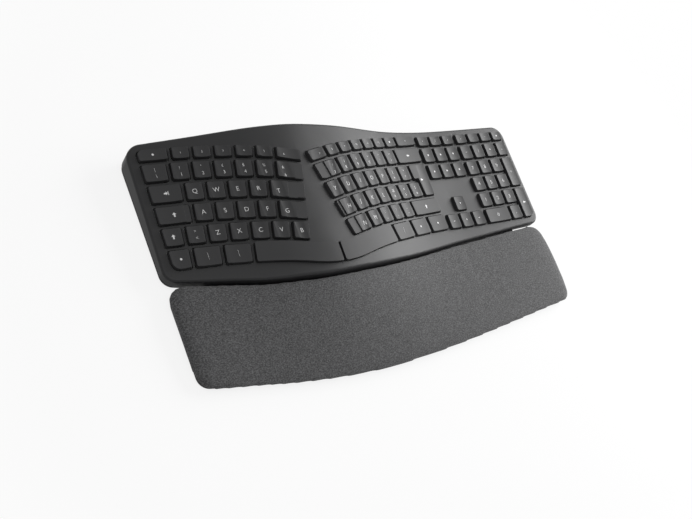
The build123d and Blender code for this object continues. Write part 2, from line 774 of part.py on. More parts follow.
def make_top_case():
    outer = prism(OUTLINE, SKIRT_Z, WIDTH) & arch_block(0)
    rim = [e for e in outer.edges() if e.bounding_box().min.Z > SKIRT_Z + SHELL / 2 and not is_upright(e)]
    outer = fillet(rim, DECK_EDGE_ROUND)
    for key in keys:
        if key.get("curved"):
            outer -= key_well(key)
    shell = outer - (prism(INNER_OUTLINE, 0, WIDTH) & arch_block(SHELL))
    for place in BOSSES:
        shell += rod(place, BOSS_R, SKIRT_Z, WIDTH) & arch_block(SHELL / 2) & prism(OUTLINE, 0, WIDTH)
    for place in BOSSES:
        shell -= rod(place, SCREW_R + SCREW_CLEAR, 0, SCREW_TIP_Z + SCREW_CLEAR)
    return shell - [key_well(key) for key in keys if not key.get("curved")]


def is_upright(edge):
    box = edge.bounding_box()
    return box.size.X < SHELL and box.size.Y < SHELL and box.size.Z > SHELL


# Bottom case with the floor of the palm rest

def palm_front_y(x):
    return Y_FRONT + PALM_BULGE * share_at(PALM_FRONT_shares, x / WIDTH)


def palm_rear_y(x):
    return deck_front_y(x) - PALM_GAP


def palm_outline(inset):
    front = edge_points(palm_front_y, inset)
    rear = edge_points(palm_rear_y, -inset)
    face = make_face([Spline(*front), Line(front[-1], rear[-1]), Spline(*rear), Line(rear[0], front[0])])
    face = fillet(face.vertices().sort_by(Axis.Y)[-2:], PALM_REAR_CORNER - inset)
    return fillet(face.vertices().sort_by(Axis.Y)[:2], PALM_FRONT_CORNER - inset)


PALM_FACE = palm_outline(PALM_BASE_INSET)
PLATE_BOTTOM = MEMBRANE_DROP + MEMBRANE_THICK + 2 * LAYER_GAP + PLATE_THICK
CELL_MIDDLE = at_share(CELL_share)
CELL_Z = BASE_Z + DOOR_THICK + CELL_LIFT + CELL_R
BAY_HALF_X = CELL_LENGTH / 2 + CELL_NUB + BAY_END
BAY_HALF_Y = 2 * CELL_R + CELL_GAP / 2 + BAY_CLEAR
SWITCH_MIDDLE = at_share(SWITCH_share)
BOARD_MIDDLE = at_share(BOARD_share)
BOARD_Z = FLOOR_TOP + BOARD_LIFT


def leg_middles():
    return [-LEG_share * WIDTH, LEG_share * WIDTH]


def leg_y(x):
    """Each pair of legs sits square, at one distance behind the front edge."""
    return LEG_AXIS_Y + palm_front_y(x) - Y_FRONT


def board_posts():
    half_x, half_y = BOARD_LENGTH / 2 - BOARD_POST_IN, BOARD_WIDTH / 2 - BOARD_POST_IN
    x, y = BOARD_MIDDLE
    return [(x + a * half_x, y + b * half_y) for a in (-1, 1) for b in (-1, 1)]


def make_bottom_case():
    wall_top = SKIRT_Z - PARTING_GAP
    plan = deck_outline(BASE_INSET)
    tub = prism(plan, BASE_Z, wall_top)
    tub = chamfer(tub.faces().sort_by(Axis.Z)[0].edges(), BASE_CHAMFER)
    tub -= prism(deck_outline(BASE_INSET + BASE_WALL), FLOOR_TOP, wall_top + OVERRUN)
    palm_floor = prism(PALM_FACE, BASE_Z, PALM_FLOOR_TOP)
    case = tub + palm_floor
    low, high = BRIDGE_shares
    case += bridge_along_gap(low * WIDTH, high * WIDTH)
    for rib_x in rib_places():
        case += support_rib(rib_x)
    for place in board_posts():
        case += rod(place, BOARD_POST_R, FLOOR_TOP, BOARD_Z)
    x, y = CELL_MIDDLE
    bay = box_between((x - BAY_HALF_X - BAY_WALL, x + BAY_HALF_X + BAY_WALL),
                      (y - BAY_HALF_Y - BAY_WALL, y + BAY_HALF_Y + BAY_WALL),
                      (FLOOR_TOP - BASE_FLOOR / 2, FLOOR_TOP + BAY_HEIGHT))
    case += bay
    case -= box_between((x - BAY_HALF_X, x + BAY_HALF_X), (y - BAY_HALF_Y, y + BAY_HALF_Y),
                        (0, FLOOR_TOP + BAY_HEIGHT + OVERRUN))
    lip_x, lip_y = BAY_HALF_X + DOOR_LIP, BAY_HALF_Y + DOOR_LIP
    case -= box_between((x - lip_x, x + lip_x), (y - lip_y, y + lip_y), (0, BASE_Z + DOOR_LIP_THICK + DOOR_CLEAR))
    sx, sy = SWITCH_MIDDLE
    slot_x = (KNOB_LENGTH + SWITCH_THROW) / 2 + KNOB_CLEAR
    slot_y = KNOB_WIDTH / 2 + KNOB_CLEAR
    case -= box_between((sx - slot_x, sx + slot_x), (sy - slot_y, sy + slot_y), (0, FLOOR_TOP + OVERRUN))
    for bx, by in BOSSES:
        case -= rod((bx, by), SCREW_HEAD_R + SCREW_CLEAR, 0, SCREW_HEAD_Z)
        case -= rod((bx, by), SCREW_R + SCREW_CLEAR, 0, wall_top + OVERRUN)
    for fx, fy in foot_places():
        case -= rod((fx, fy), FOOT_R + FOOT_CLEAR, 0, BASE_Z + FOOT_SINK)
    for lx in leg_middles():
        case -= leg_recess(lx)
    return case


def bridge_along_gap(x0, x1):
    """A strip of floor under the gap between the deck and the palm rest."""
    steps = len(DECK_FRONT_shares) * 2
    xs = [x0 + (x1 - x0) * i / steps for i in range(steps + 1)]
    rear = [(x, deck_front_y(x) + BRIDGE_REACH) for x in xs]
    front = [(x, palm_rear_y(x) - BRIDGE_REACH) for x in xs]
    face = make_face([Spline(*front), Line(front[-1], rear[-1]), Spline(*rear), Line(rear[0], front[0])])
    return prism(face, BASE_Z, FLOOR_TOP)


def rib_places():
    return [share * WIDTH for share in RIB_shares]


def support_rib(x):
    """A wall from the floor to the key plate, across the depth of the deck."""
    wall = box_between((x - RIB_THICK / 2, x + RIB_THICK / 2),
                       (deck_front_y(x) + PLATE_INSET, Y_FRONT + DEPTH - PLATE_INSET - RIB_THICK),
                       (FLOOR_TOP - BASE_FLOOR / 2, WIDTH))
    return wall & arch_block(PLATE_BOTTOM)


def foot_places():
    return [at_share(pair) for pair in DECK_FEET_shares + PALM_FEET_shares]


def leg_recess(x):
    """The opening that a pair of nested legs folds into, with the bore of its pin."""
    y = leg_y(x)
    half = BIG_LEG_WIDTH / 2 + LEG_GAP
    opening = box_between((x - half, x + half), (y - LEG_THICK / 2 - LEG_GAP, y + BIG_LEG_LENGTH + LEG_GAP),
                          (0, PALM_FLOOR_TOP + OVERRUN))
    bore = Cylinder(LEG_PIN_R, 2 * (half + LEG_PIN_HOLD), rotation=(0, 90, 0))
    return opening + bore.moved(Location((x, y, LEG_AXIS_Z)))


# Tilt legs: a wide frame with a shorter plate nested inside it, on one pin

def leg_bar(x0, x1, y, length):
    """A flat bar from the pin backwards, round at the pin."""
    bar = box_between((x0, x1), (y, y + length), (LEG_AXIS_Z - LEG_THICK / 2, LEG_AXIS_Z + LEG_THICK / 2))
    eye = Cylinder(LEG_THICK / 2, x1 - x0, rotation=(0, 90, 0))
    return bar + eye.moved(Location(((x0 + x1) / 2, y, LEG_AXIS_Z)))


def make_big_leg(x):
    y = leg_y(x)
    half = BIG_LEG_WIDTH / 2
    leg = leg_bar(x - half, x + half, y, BIG_LEG_LENGTH)
    inner = half - BIG_LEG_ARM
    leg -= box_between((x - inner, x + inner), (y - LEG_THICK, y + SMALL_LEG_LENGTH + LEG_GAP), (0, WIDTH))
    return leg - pin_bore(x, y)


def make_small_leg(x):
    y = leg_y(x)
    half = BIG_LEG_WIDTH / 2 - BIG_LEG_ARM - LEG_GAP
    return leg_bar(x - half, x + half, y, SMALL_LEG_LENGTH) - pin_bore(x, y)


def pin_bore(x, y):
    bore = Cylinder(LEG_PIN_R + LEG_BORE_CLEAR, 2 * BIG_LEG_WIDTH, rotation=(0, 90, 0))
    return bore.moved(Location((x, y, LEG_AXIS_Z)))


def make_leg_pin(x):
    length = BIG_LEG_WIDTH + 2 * (LEG_GAP + LEG_PIN_HOLD)
    return Cylinder(LEG_PIN_R, length, rotation=(0, 90, 0)).moved(Location((x, leg_y(x), LEG_AXIS_Z)))


# Palm rest cushion: sections along X through the crown, drawn in at the hem

def palm_stations():
    ends = [-HALF_WIDTH + PALM_REAR_CORNER * share for share in PALM_END_shares]
    return ends + [share * WIDTH for share in PALM_STATION_shares] + [-x for x in ends[::-1]]


def corner_draw(x, radius):
    """How far a rounded corner pulls the outline in at X."""
    left = max(0, radius - (HALF_WIDTH - abs(x)))
    return radius - sqrt(max(0, radius**2 - left**2))


def palm_section(x, inside):
    """One closed section; inside is how far it lies within the outer skin."""
    front = palm_front_y(x) + corner_draw(x, PALM_FRONT_CORNER) + inside
    rear = palm_rear_y(x) - corner_draw(x, PALM_REAR_CORNER) - inside
    end = corner_draw(x, PALM_REAR_CORNER) / PALM_REAR_CORNER * PALM_END_DROP
    hem = PALM_HEM_Z - (OVERRUN / PAD_COLUMNS if inside else 0)
    front_top = PALM_FRONT_Z - end - inside
    rear_top = PALM_REAR_share * deck_z(x, deck_front_y(x)) - end - inside
    crown = (front_top + rear_top) / 2 + PALM_CROWN
    a = Vector(x, front + PALM_SIDE_DRAW, hem)
    b = Vector(x, front, front_top - PALM_EDGE)
    c = Vector(x, front + PALM_EDGE, front_top)
    d = Vector(x, rear - PALM_EDGE, rear_top)
    e = Vector(x, rear, rear_top - PALM_EDGE)
    f = Vector(x, rear - PALM_SIDE_DRAW, hem)
    bend = PALM_EDGE * (1 - sqrt(1 / 2))
    edges = [
        Line(a, b),
        ThreePointArc(b, Vector(x, front + bend, front_top - bend), c),
        ThreePointArc(c, Vector(x, (c.Y + d.Y) / 2, crown), d),
        ThreePointArc(d, Vector(x, rear - bend, rear_top - bend), e),
        Line(e, f),
        Line(f, a),
    ]
    return make_face(edges)


def palm_body(inside):
    return loft([palm_section(x, inside) for x in inner_stations(inside)], ruled=False)


def inner_stations(inside):
    scale = (HALF_WIDTH - inside) / HALF_WIDTH
    return [x * scale for x in palm_stations()]


INNER_SKIN = FABRIC + FOAM_GAP
TRAY_TOP = PALM_FLOOR_TOP + TRAY_GAP + TRAY_THICK


def make_palm_cover():
    return palm_body(0) - palm_body(FABRIC)


def make_dense_foam():
    """A flat firm sheet on the tray, clear of the cover's drawn-in edge."""
    return prism(palm_outline(DENSE_FOAM_INSET), TRAY_TOP, TRAY_TOP + DENSE_FOAM_THICK)


def foam_section(x):
    """A plain four-sided section of the soft foam, under the cover's crown."""
    front = palm_front_y(x) + MEMORY_FOAM_INSET
    rear = palm_rear_y(x) - MEMORY_FOAM_INSET
    low = TRAY_TOP + DENSE_FOAM_THICK + FOAM_GAP
    rear_top = PALM_REAR_share * deck_z(x, deck_front_y(x)) - MEMORY_FOAM_DROP
    points = [(front, low), (front, PALM_FRONT_Z - MEMORY_FOAM_DROP), (rear, rear_top), (rear, low)]
    return make_face(Polyline(*[Vector(x, y, z) for y, z in points], close=True))


def make_memory_foam():
    half = HALF_WIDTH - PALM_REAR_CORNER
    shares = [-1] + MEMORY_FOAM_shares + [1]
    return loft([foam_section(share * half) for share in shares], ruled=True)


def make_palm_tray():
    return prism(PALM_FACE, PALM_FLOOR_TOP + TRAY_GAP, TRAY_TOP)


# Sheets under the keys

PLATE_FACE = deck_outline(PLATE_INSET)


def make_membrane():
    return layer(PLATE_FACE, MEMBRANE_DROP, MEMBRANE_THICK)


def make_key_plate():
    return layer(PLATE_FACE, MEMBRANE_DROP + MEMBRANE_THICK + LAYER_GAP, PLATE_THICK)


# Power cells, contacts and door

def cell_places():
    x, y = CELL_MIDDLE
    half = CELL_R + CELL_GAP / 2
    return [(x, y - half, 1), (x, y + half, -1)]


def make_cells():
    cells = []
    for x, y, way in cell_places():
        body = Cylinder(CELL_R, CELL_LENGTH, rotation=(0, 90, 0)).moved(Location((x, y, CELL_Z)))
        nub = Cylinder(CELL_NUB_R, CELL_NUB, rotation=(0, 90, 0))
        cells.append(body + nub.moved(Location((x + way * (CELL_LENGTH + CELL_NUB) / 2, y, CELL_Z))))
    return cells


def make_contacts():
    """A plate on the end wall of the bay with a round bump that reaches the cell's end."""
    contacts = []
    for x, y, way in cell_places():
        for end in (-1, 1):
            wall = x + end * BAY_HALF_X
            reach = BAY_END + (0 if end == way else CELL_NUB) - CONTACT_TOUCH_GAP
            plate = Box(CONTACT_THICK, CONTACT_SIZE, CONTACT_SIZE)
            plate = plate.moved(Location((wall - end * CONTACT_THICK / 2, y, CELL_Z)))
            bump = Cylinder(CONTACT_BUMP_R, reach, rotation=(0, 90, 0))
            contacts.append(plate + bump.moved(Location((wall - end * reach / 2, y, CELL_Z))))
    return contacts


def make_battery_door():
    x, y = CELL_MIDDLE
    lip_x, lip_y = BAY_HALF_X + DOOR_LIP - DOOR_CLEAR, BAY_HALF_Y + DOOR_LIP - DOOR_CLEAR
    plug_x, plug_y = BAY_HALF_X - DOOR_CLEAR, BAY_HALF_Y - DOOR_CLEAR
    door = box_between((x - lip_x, x + lip_x), (y - lip_y, y + lip_y), (BASE_Z, BASE_Z + DOOR_LIP_THICK))
    door += box_between((x - plug_x, x + plug_x), (y - plug_y, y + plug_y), (BASE_Z, BASE_Z + DOOR_THICK))
    for i in range(GRIP_COUNT):
        gy = y + (i - (GRIP_COUNT - 1) / 2) * 2 * GRIP_WIDTH
        door -= Box(GRIP_LENGTH, GRIP_WIDTH, 2 * GRIP_DEPTH).moved(Location((x, gy, BASE_Z)))
    return door


# Power switch: the knob is at the left end of its throw

def make_switch_knob():
    x, y = SWITCH_MIDDLE
    x -= SWITCH_THROW / 2
    low = FLOOR_TOP + KNOB_CLEAR
    half, wide = KNOB_LENGTH / 2, KNOB_WIDTH / 2
    stem = box_between((x - half, x + half), (y - wide, y + wide), (BASE_Z - KNOB_OUT, low + KNOB_BASE_THICK))
    half, wide = KNOB_BASE_LENGTH / 2, KNOB_BASE_WIDTH / 2
    return stem + box_between((x - half, x + half), (y - wide, y + wide), (low, low + KNOB_BASE_THICK))


def make_switch_body():
    x, y = SWITCH_MIDDLE
    half, wide = SWITCH_BODY_LENGTH / 2, SWITCH_BODY_WIDTH / 2
    body = box_between((x - half, x + half), (y - wide, y + wide), (FLOOR_TOP, FLOOR_TOP + SWITCH_BODY_HEIGHT))
    half = (KNOB_BASE_LENGTH + SWITCH_THROW) / 2 + KNOB_CLEAR
    wide = KNOB_BASE_WIDTH / 2 + KNOB_CLEAR
    channel = box_between((x - half, x + half), (y - wide, y + wide),
                          (0, FLOOR_TOP + KNOB_BASE_THICK + 2 * KNOB_CLEAR))
    return body - channel


def make_board():
    x, y = BOARD_MIDDLE
    board = Box(BOARD_LENGTH, BOARD_WIDTH, BOARD_THICK).moved(Location((x, y, BOARD_Z + BOARD_THICK / 2)))
    top = BOARD_Z + BOARD_THICK
    for sx, sy in CHIP_shares:
        place = Location((x + sx * BOARD_LENGTH, y + sy * BOARD_WIDTH, top + CHIP_HEIGHT / 2))
        board += Box(CHIP_SIDE, CHIP_SIDE, CHIP_HEIGHT).moved(place)
    return board


def make_screws():
    screws = []
    for place in BOSSES:
        head = rod(place, SCREW_HEAD_R, SCREW_HEAD_Z - SCREW_HEAD, SCREW_HEAD_Z)
        screws.append(head + rod(place, SCREW_R, SCREW_HEAD_Z, SCREW_TIP_Z))
    return screws


def make_feet():
    return [rod(place, FOOT_R, 0, BASE_Z + FOOT_SINK) for place in foot_places()]


# Everything is written out, one file for each node

def write(node, pieces):
    if not isinstance(pieces, list):
        pieces = [pieces]
    solids = [solid for piece in pieces for solid in piece.solids()]
    shape = solids[0] if len(solids) == 1 else Compound(children=solids)
    shape.label = node
    export_step(shape, "parts/" + node + ".step")
    print(node, len(solids), round(sum(solid.volume for solid in solids), 1))


os.makedirs("parts", exist_ok=True)
write("top_case", make_top_case())
write("bottom_case", make_bottom_case())
write("palm_cover", make_palm_cover())
write("palm_memory_foam", make_memory_foam())
write("palm_dense_foam", make_dense_foam())
write("palm_tray", make_palm_tray())
write("membrane_sheet", make_membrane())
write("key_plate", make_key_plate())

caps = {}
domes, links = [], []
for key in keys:
    caps.setdefault(key["node"], []).append(curved_cap(key) if key.get("curved") else cap_body(key))
    for place in mechanism_places(key):
        domes.append(dome(place))
        links += link_pair(place, SMALL_LINK_LENGTH if is_shallow(key) else LINK_LENGTH)
for node, pieces in caps.items():
    write(node, pieces)
write("rubber_domes", domes)
write("scissor_links", links)

write("circuit_board", make_board())
write("power_cells", make_cells())
write("cell_contacts", make_contacts())
write("battery_door", make_battery_door())
write("switch_body", make_switch_body())
write("switch_knob", make_switch_knob())
for side, x in zip(("left", "right"), leg_middles()):
    write("tilt_leg_long_" + side, make_big_leg(x))
    write("tilt_leg_short_" + side, make_small_leg(x))
write("leg_pins", [make_leg_pin(x) for x in leg_middles()])
write("rubber_feet", make_feet())
write("case_screws", make_screws())
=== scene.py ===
"""Looks of an ergonomic split keyboard: key caps, legends, deck, woven palm rest and underside."""

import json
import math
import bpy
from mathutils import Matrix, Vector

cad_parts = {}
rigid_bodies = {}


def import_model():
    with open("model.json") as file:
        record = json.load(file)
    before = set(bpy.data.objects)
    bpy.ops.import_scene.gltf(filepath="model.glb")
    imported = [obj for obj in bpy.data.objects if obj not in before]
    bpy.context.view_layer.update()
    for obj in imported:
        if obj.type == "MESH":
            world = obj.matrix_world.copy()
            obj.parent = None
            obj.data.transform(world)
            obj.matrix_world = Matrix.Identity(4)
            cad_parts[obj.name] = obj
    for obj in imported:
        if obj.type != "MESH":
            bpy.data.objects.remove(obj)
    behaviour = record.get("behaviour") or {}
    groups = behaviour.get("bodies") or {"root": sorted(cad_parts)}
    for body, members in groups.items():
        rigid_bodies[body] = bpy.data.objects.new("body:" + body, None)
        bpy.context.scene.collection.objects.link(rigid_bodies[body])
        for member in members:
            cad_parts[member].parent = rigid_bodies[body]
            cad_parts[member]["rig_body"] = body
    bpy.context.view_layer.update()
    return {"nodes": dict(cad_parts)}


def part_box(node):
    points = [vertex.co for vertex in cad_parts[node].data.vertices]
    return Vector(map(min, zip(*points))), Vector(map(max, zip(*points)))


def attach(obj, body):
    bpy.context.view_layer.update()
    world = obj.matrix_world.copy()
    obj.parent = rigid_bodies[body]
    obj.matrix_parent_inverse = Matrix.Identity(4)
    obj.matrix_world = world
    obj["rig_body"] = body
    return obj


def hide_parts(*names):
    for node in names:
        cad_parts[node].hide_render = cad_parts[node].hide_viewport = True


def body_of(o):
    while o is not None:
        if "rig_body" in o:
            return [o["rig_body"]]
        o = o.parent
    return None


bl_info = {
    "name": "Split keyboard",
    "version": (1, 0, 0),
    "blender": (4, 5, 0),
    "location": "3D View > Sidebar > Keyboard",
    "description": "Dresses the frame of a humped split keyboard with a woven palm rest",
    "category": "Object",
}

import bmesh
import bpy
from mathutils import Matrix, Vector
from mathutils.bvhtree import BVHTree

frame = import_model()
MM = 0.001


# Sizes and colours that a user would change

class KeyLook(bpy.types.PropertyGroup):
    edge_round: bpy.props.FloatProperty(
        name="Edge rounding", description="Radius of the moulded edges of a key cap",
        default=0.35 * MM, unit="LENGTH")
    cap_colour: bpy.props.FloatVectorProperty(
        name="Cap colour", description="Colour of the moulded key caps",
        subtype="COLOR", default=(0.018, 0.018, 0.0188))
    cap_grain: bpy.props.FloatProperty(
        name="Cap grain", description="Size of the moulded grain of a key cap",
        default=0.28 * MM, unit="LENGTH")
    ink_colour: bpy.props.FloatVectorProperty(
        name="Legend colour", description="Colour of the printed legends",
        subtype="COLOR", default=(0.72, 0.72, 0.72))
    letter_height: bpy.props.FloatProperty(
        name="Letter height", description="Height of a letter printed alone on a key",
        default=4.0 * MM, unit="LENGTH")
    digit_height: bpy.props.FloatProperty(
        name="Digit height", description="Height of a sign that shares its key with another",
        default=3.0 * MM, unit="LENGTH")
    small_height: bpy.props.FloatProperty(
        name="Small height", description="Height of the small signs of the top row",
        default=1.9 * MM, unit="LENGTH")
    ink_lift: bpy.props.FloatProperty(
        name="Ink lift", description="How far the ink lies over the cap",
        default=0.03 * MM, unit="LENGTH")


class CaseLook(bpy.types.PropertyGroup):
    deck_colour: bpy.props.FloatVectorProperty(
        name="Deck colour", description="Colour of the graphite top case",
        subtype="COLOR", default=(0.013, 0.013, 0.0137))
    base_colour: bpy.props.FloatVectorProperty(
        name="Base colour", description="Colour of the bottom case and the legs",
        subtype="COLOR", default=(0.009, 0.009, 0.0095))
    grain_size: bpy.props.FloatProperty(
        name="Grain size", description="Size of the moulded grain of the deck",
        default=0.35 * MM, unit="LENGTH")
    leg_round: bpy.props.FloatProperty(
        name="Leg rounding", description="Radius of the edges of the tilt legs",
        default=0.25 * MM, unit="LENGTH")


class FixingLook(bpy.types.PropertyGroup):
    screw_colour: bpy.props.FloatVectorProperty(
        name="Screw colour", description="Colour of the blackened steel of the screws",
        subtype="COLOR", default=(0.09, 0.09, 0.095))
    pin_colour: bpy.props.FloatVectorProperty(
        name="Pin colour", description="Colour of the bright steel of the legs' pins",
        subtype="COLOR", default=(0.56, 0.56, 0.57))
    rubber_colour: bpy.props.FloatVectorProperty(
        name="Rubber colour", description="Colour of the rubber feet",
        subtype="COLOR", default=(0.020, 0.020, 0.021))
    # Painted shade: each screw's drive is a flat dark star that stands for the shaded recess in its head.
    drive_shade_colour: bpy.props.FloatVectorProperty(
        name="Drive shade colour", description="Colour of the painted shade in a screw's drive",
        subtype="COLOR", default=(0.004, 0.004, 0.004))
    drive_radius: bpy.props.FloatProperty(
        name="Screw drive radius", description="Radius of the star drive in a screw's head",
        default=0.95 * MM, unit="LENGTH")
    screw_round: bpy.props.FloatProperty(
        name="Screw rounding", description="Radius of the edges of a screw's head",
        default=0.12 * MM, unit="LENGTH")
    foot_ring: bpy.props.FloatProperty(
        name="Foot ring radius", description="Middle radius of the raised ring on a foot",
        default=3.6 * MM, unit="LENGTH")
    foot_round: bpy.props.FloatProperty(
        name="Foot rounding", description="Radius of the edges of a rubber foot",
        default=0.4 * MM, unit="LENGTH")


class PalmLook(bpy.types.PropertyGroup):
    dark_yarn: bpy.props.FloatVectorProperty(
        name="Dark yarn", description="Colour of the dark yarn of the cover",
        subtype="COLOR", default=(0.014, 0.014, 0.0144))
    light_yarn: bpy.props.FloatVectorProperty(
        name="Light yarn", description="Colour of the light flecks of the cover",
        subtype="COLOR", default=(0.115, 0.115, 0.118))
    fleck: bpy.props.FloatProperty(
        name="Fleck size", description="Width of one fleck of the heather weave",
        default=0.9 * MM, unit="LENGTH")
    voxel: bpy.props.FloatProperty(
        name="Mesh size", description="Size of the cushion's mesh cells before it is puffed",
        default=2.0 * MM, unit="LENGTH")
    puff: bpy.props.FloatProperty(
        name="Largest puff", description="How far the foam may push the cover out",
        default=0.6 * MM, unit="LENGTH")
    soft_colour: bpy.props.FloatVectorProperty(
        name="Soft foam colour", description="Colour of the soft upper foam",
        subtype="COLOR", default=(0.55, 0.52, 0.44))
    dense_colour: bpy.props.FloatVectorProperty(
        name="Dense foam colour", description="Colour of the firm lower foam",
        subtype="COLOR", default=(0.10, 0.10, 0.105))
    tray_colour: bpy.props.FloatVectorProperty(
        name="Tray colour", description="Colour of the tray under the foams",
        subtype="COLOR", default=(0.05, 0.05, 0.052))


class MechanismLook(bpy.types.PropertyGroup):
    film_colour: bpy.props.FloatVectorProperty(
        name="Film colour", description="Colour of the membrane sheet",
        subtype="COLOR", default=(0.30, 0.31, 0.30))
    dome_colour: bpy.props.FloatVectorProperty(
        name="Dome colour", description="Colour of the rubber domes",
        subtype="COLOR", default=(0.42, 0.42, 0.40))
    link_colour: bpy.props.FloatVectorProperty(
        name="Link colour", description="Colour of the scissor links",
        subtype="COLOR", default=(0.62, 0.62, 0.60))
    plate_colour: bpy.props.FloatVectorProperty(
        name="Plate colour", description="Colour of the steel key plate",
        subtype="COLOR", default=(0.035, 0.035, 0.037))


class PowerLook(bpy.types.PropertyGroup):
    board_colour: bpy.props.FloatVectorProperty(
        name="Board colour", description="Colour of the circuit board",
        subtype="COLOR", default=(0.012, 0.085, 0.035))
    jacket_colour: bpy.props.FloatVectorProperty(
        name="Cell colour", description="Colour of the jacket of the round cells",
        subtype="COLOR", default=(0.05, 0.13, 0.24))
    contact_colour: bpy.props.FloatVectorProperty(
        name="Contact colour", description="Colour of the contact springs and plates",
        subtype="COLOR", default=(0.62, 0.60, 0.56))
    switch_colour: bpy.props.FloatVectorProperty(
        name="Switch colour", description="Colour of the power switch's body",
        subtype="COLOR", default=(0.045, 0.045, 0.047))
    knob_colour: bpy.props.FloatVectorProperty(
        name="Knob colour", description="Colour of the power switch's knob",
        subtype="COLOR", default=(0.16, 0.16, 0.165))
    cell_round: bpy.props.FloatProperty(
        name="Cell rounding", description="Radius of the edges of a cell",
        default=0.3 * MM, unit="LENGTH")
    knob_round: bpy.props.FloatProperty(
        name="Knob rounding", description="Radius of the edges of the switch's knob",
        default=0.2 * MM, unit="LENGTH")


class StudioLook(bpy.types.PropertyGroup):
    key_power: bpy.props.FloatProperty(
        name="Key light", description="Power of the large light over the desk",
        default=4.5, unit="POWER")
    side_power: bpy.props.FloatProperty(
        name="Side light", description="Power of the low light on the right",
        default=30.0, unit="POWER")
    room: bpy.props.FloatProperty(
        name="Room light", description="Strength of the light that comes from all round",
        default=0.25)


# Shader expressions

class Wire:
    """A socket that Python's operators turn into Math nodes."""

    def __init__(self, tree, socket):
        self.tree = tree
        self.socket = socket

    def maths(self, operation, *values, clamp=False):
        node = self.tree.nodes.new("ShaderNodeMath")
        node.operation = operation
        node.use_clamp = clamp
        for slot, value in zip(node.inputs, values):
            if isinstance(value, Wire):
                self.tree.links.new(value.socket, slot)
            else:
                slot.default_value = value
        return Wire(self.tree, node.outputs[0])

    def __add__(self, other):
        return self.maths("ADD", self, other)

    def __radd__(self, other):
        return self.maths("ADD", other, self)

    def __sub__(self, other):
        return self.maths("SUBTRACT", self, other)

    def __rsub__(self, other):
        return self.maths("SUBTRACT", other, self)

    def __mul__(self, other):
        return self.maths("MULTIPLY", self, other)

    def __rmul__(self, other):
        return self.maths("MULTIPLY", other, self)

    def __pow__(self, other):
        return self.maths("POWER", self, other)

    def clamp(self):
        return self.maths("ADD", self, 0.0, clamp=True)


class Finish:
    """A material with one Principled shader and short calls for the nodes around it."""

    def __init__(self, name, colour, roughness, metallic=0.0, **sockets):
        self.material = bpy.data.materials.new(name)
        self.material.use_nodes = True
        self.tree = self.material.node_tree
        self.shader = self.tree.nodes["Principled BSDF"]
        self.set("Base Color", colour)
        self.set("Roughness", roughness)
        self.set("Metallic", metallic)
        for socket, value in sockets.items():
            self.set(socket.replace("_", " ").title().replace("Ior", "IOR"), value)
        self.material.diffuse_color = (*colour, 1.0)
        self.place = self.node("ShaderNodeTexCoord").outputs["Object"]

    def feed(self, slot, value):
        """Link a socket or a wire to a slot, or set a number or a colour on it."""
        if isinstance(value, Wire):
            self.tree.links.new(value.socket, slot)
        elif isinstance(value, bpy.types.NodeSocket):
            self.tree.links.new(value, slot)
        elif slot.type == "RGBA":
            slot.default_value = (*value, 1.0)
        else:
            slot.default_value = value

    def set(self, socket, value):
        self.feed(self.shader.inputs[socket], value)

    def node(self, kind, settings=None, **inputs):
        """A new node: its settings first, then its sockets by name, or by number as i0, i1 and so on."""
        node = self.tree.nodes.new(kind)
        for key, value in (settings or {}).items():
            setattr(node, key, value)
        for key, value in inputs.items():
            numbered = key[0] == "i" and key[1:].isdigit()
            name = int(key[1:]) if numbered else key.replace("_", " ").title()
            self.feed(node.inputs[name], value)
        return node

    def wire(self, socket):
        return Wire(self.tree, socket)

    def noise(self, size, detail=2.0, roughness=0.5, stretch=None):
        vector = self.place
        if stretch:
            vector = self.node("ShaderNodeMapping", vector=self.place, scale=stretch).outputs[0]
        made = self.node("ShaderNodeTexNoise", vector=vector, scale=1.0 / size,
                         detail=detail, roughness=roughness)
        return self.wire(made.outputs["Fac"])

    def cells(self, size):
        made = self.node("ShaderNodeTexVoronoi", vector=self.place, scale=1.0 / size)
        return self.wire(made.outputs["Distance"])

    def mix(self, amount, low, high):
        return self.node("ShaderNodeMix", {"data_type": "RGBA"}, i0=amount, i6=low, i7=high).outputs[2]

    def vary(self, amount, colour, darkest, lightest):
        """Let the colour change between a darker and a lighter tone of itself."""
        self.set("Base Color", self.mix(amount, tone(colour, darkest), tone(colour, lightest)))

    def bump(self, height, distance, strength):
        made = self.node("ShaderNodeBump", strength=strength, distance=distance, height=height)
        self.set("Normal", made.outputs[0])


def tone(colour, factor):
    return tuple(min(1.0, c * factor) for c in colour)


PLASTIC_GRAIN = 0.35 * MM
PLASTIC_DEPTH = 0.012 * MM
MOTTLE_SIZE = 38 * MM
# The share of each noise in a roughness, and how far the roughness starts under its mean
MOTTLE_GLOSS, GRAIN_GLOSS, PLASTIC_DROP = 0.10, 0.06, 0.07
STREAK_GLOSS, STREAK_DROP = 0.18, 0.08
STREAK_SIZE = 2.5 * MM
STREAK_DEPTH = 0.01 * MM
STREAK_STRETCH = (0.15, 1.0, 1.0)
DRIFT_SIZE = 30 * MM
DASH_STRETCH = (0.45, 1.0, 1.0)
FLECK_LEVEL, FLECK_CONTRAST = 0.47, 5.0
LEAST_LIGHT, FLECK_LIGHT, DRIFT_LIGHT = 0.05, 0.80, 0.10
YARN_ROUGHNESS, FLECK_GLOSS = 0.95, 0.12
WEAVE_DEPTH = 0.12 * MM


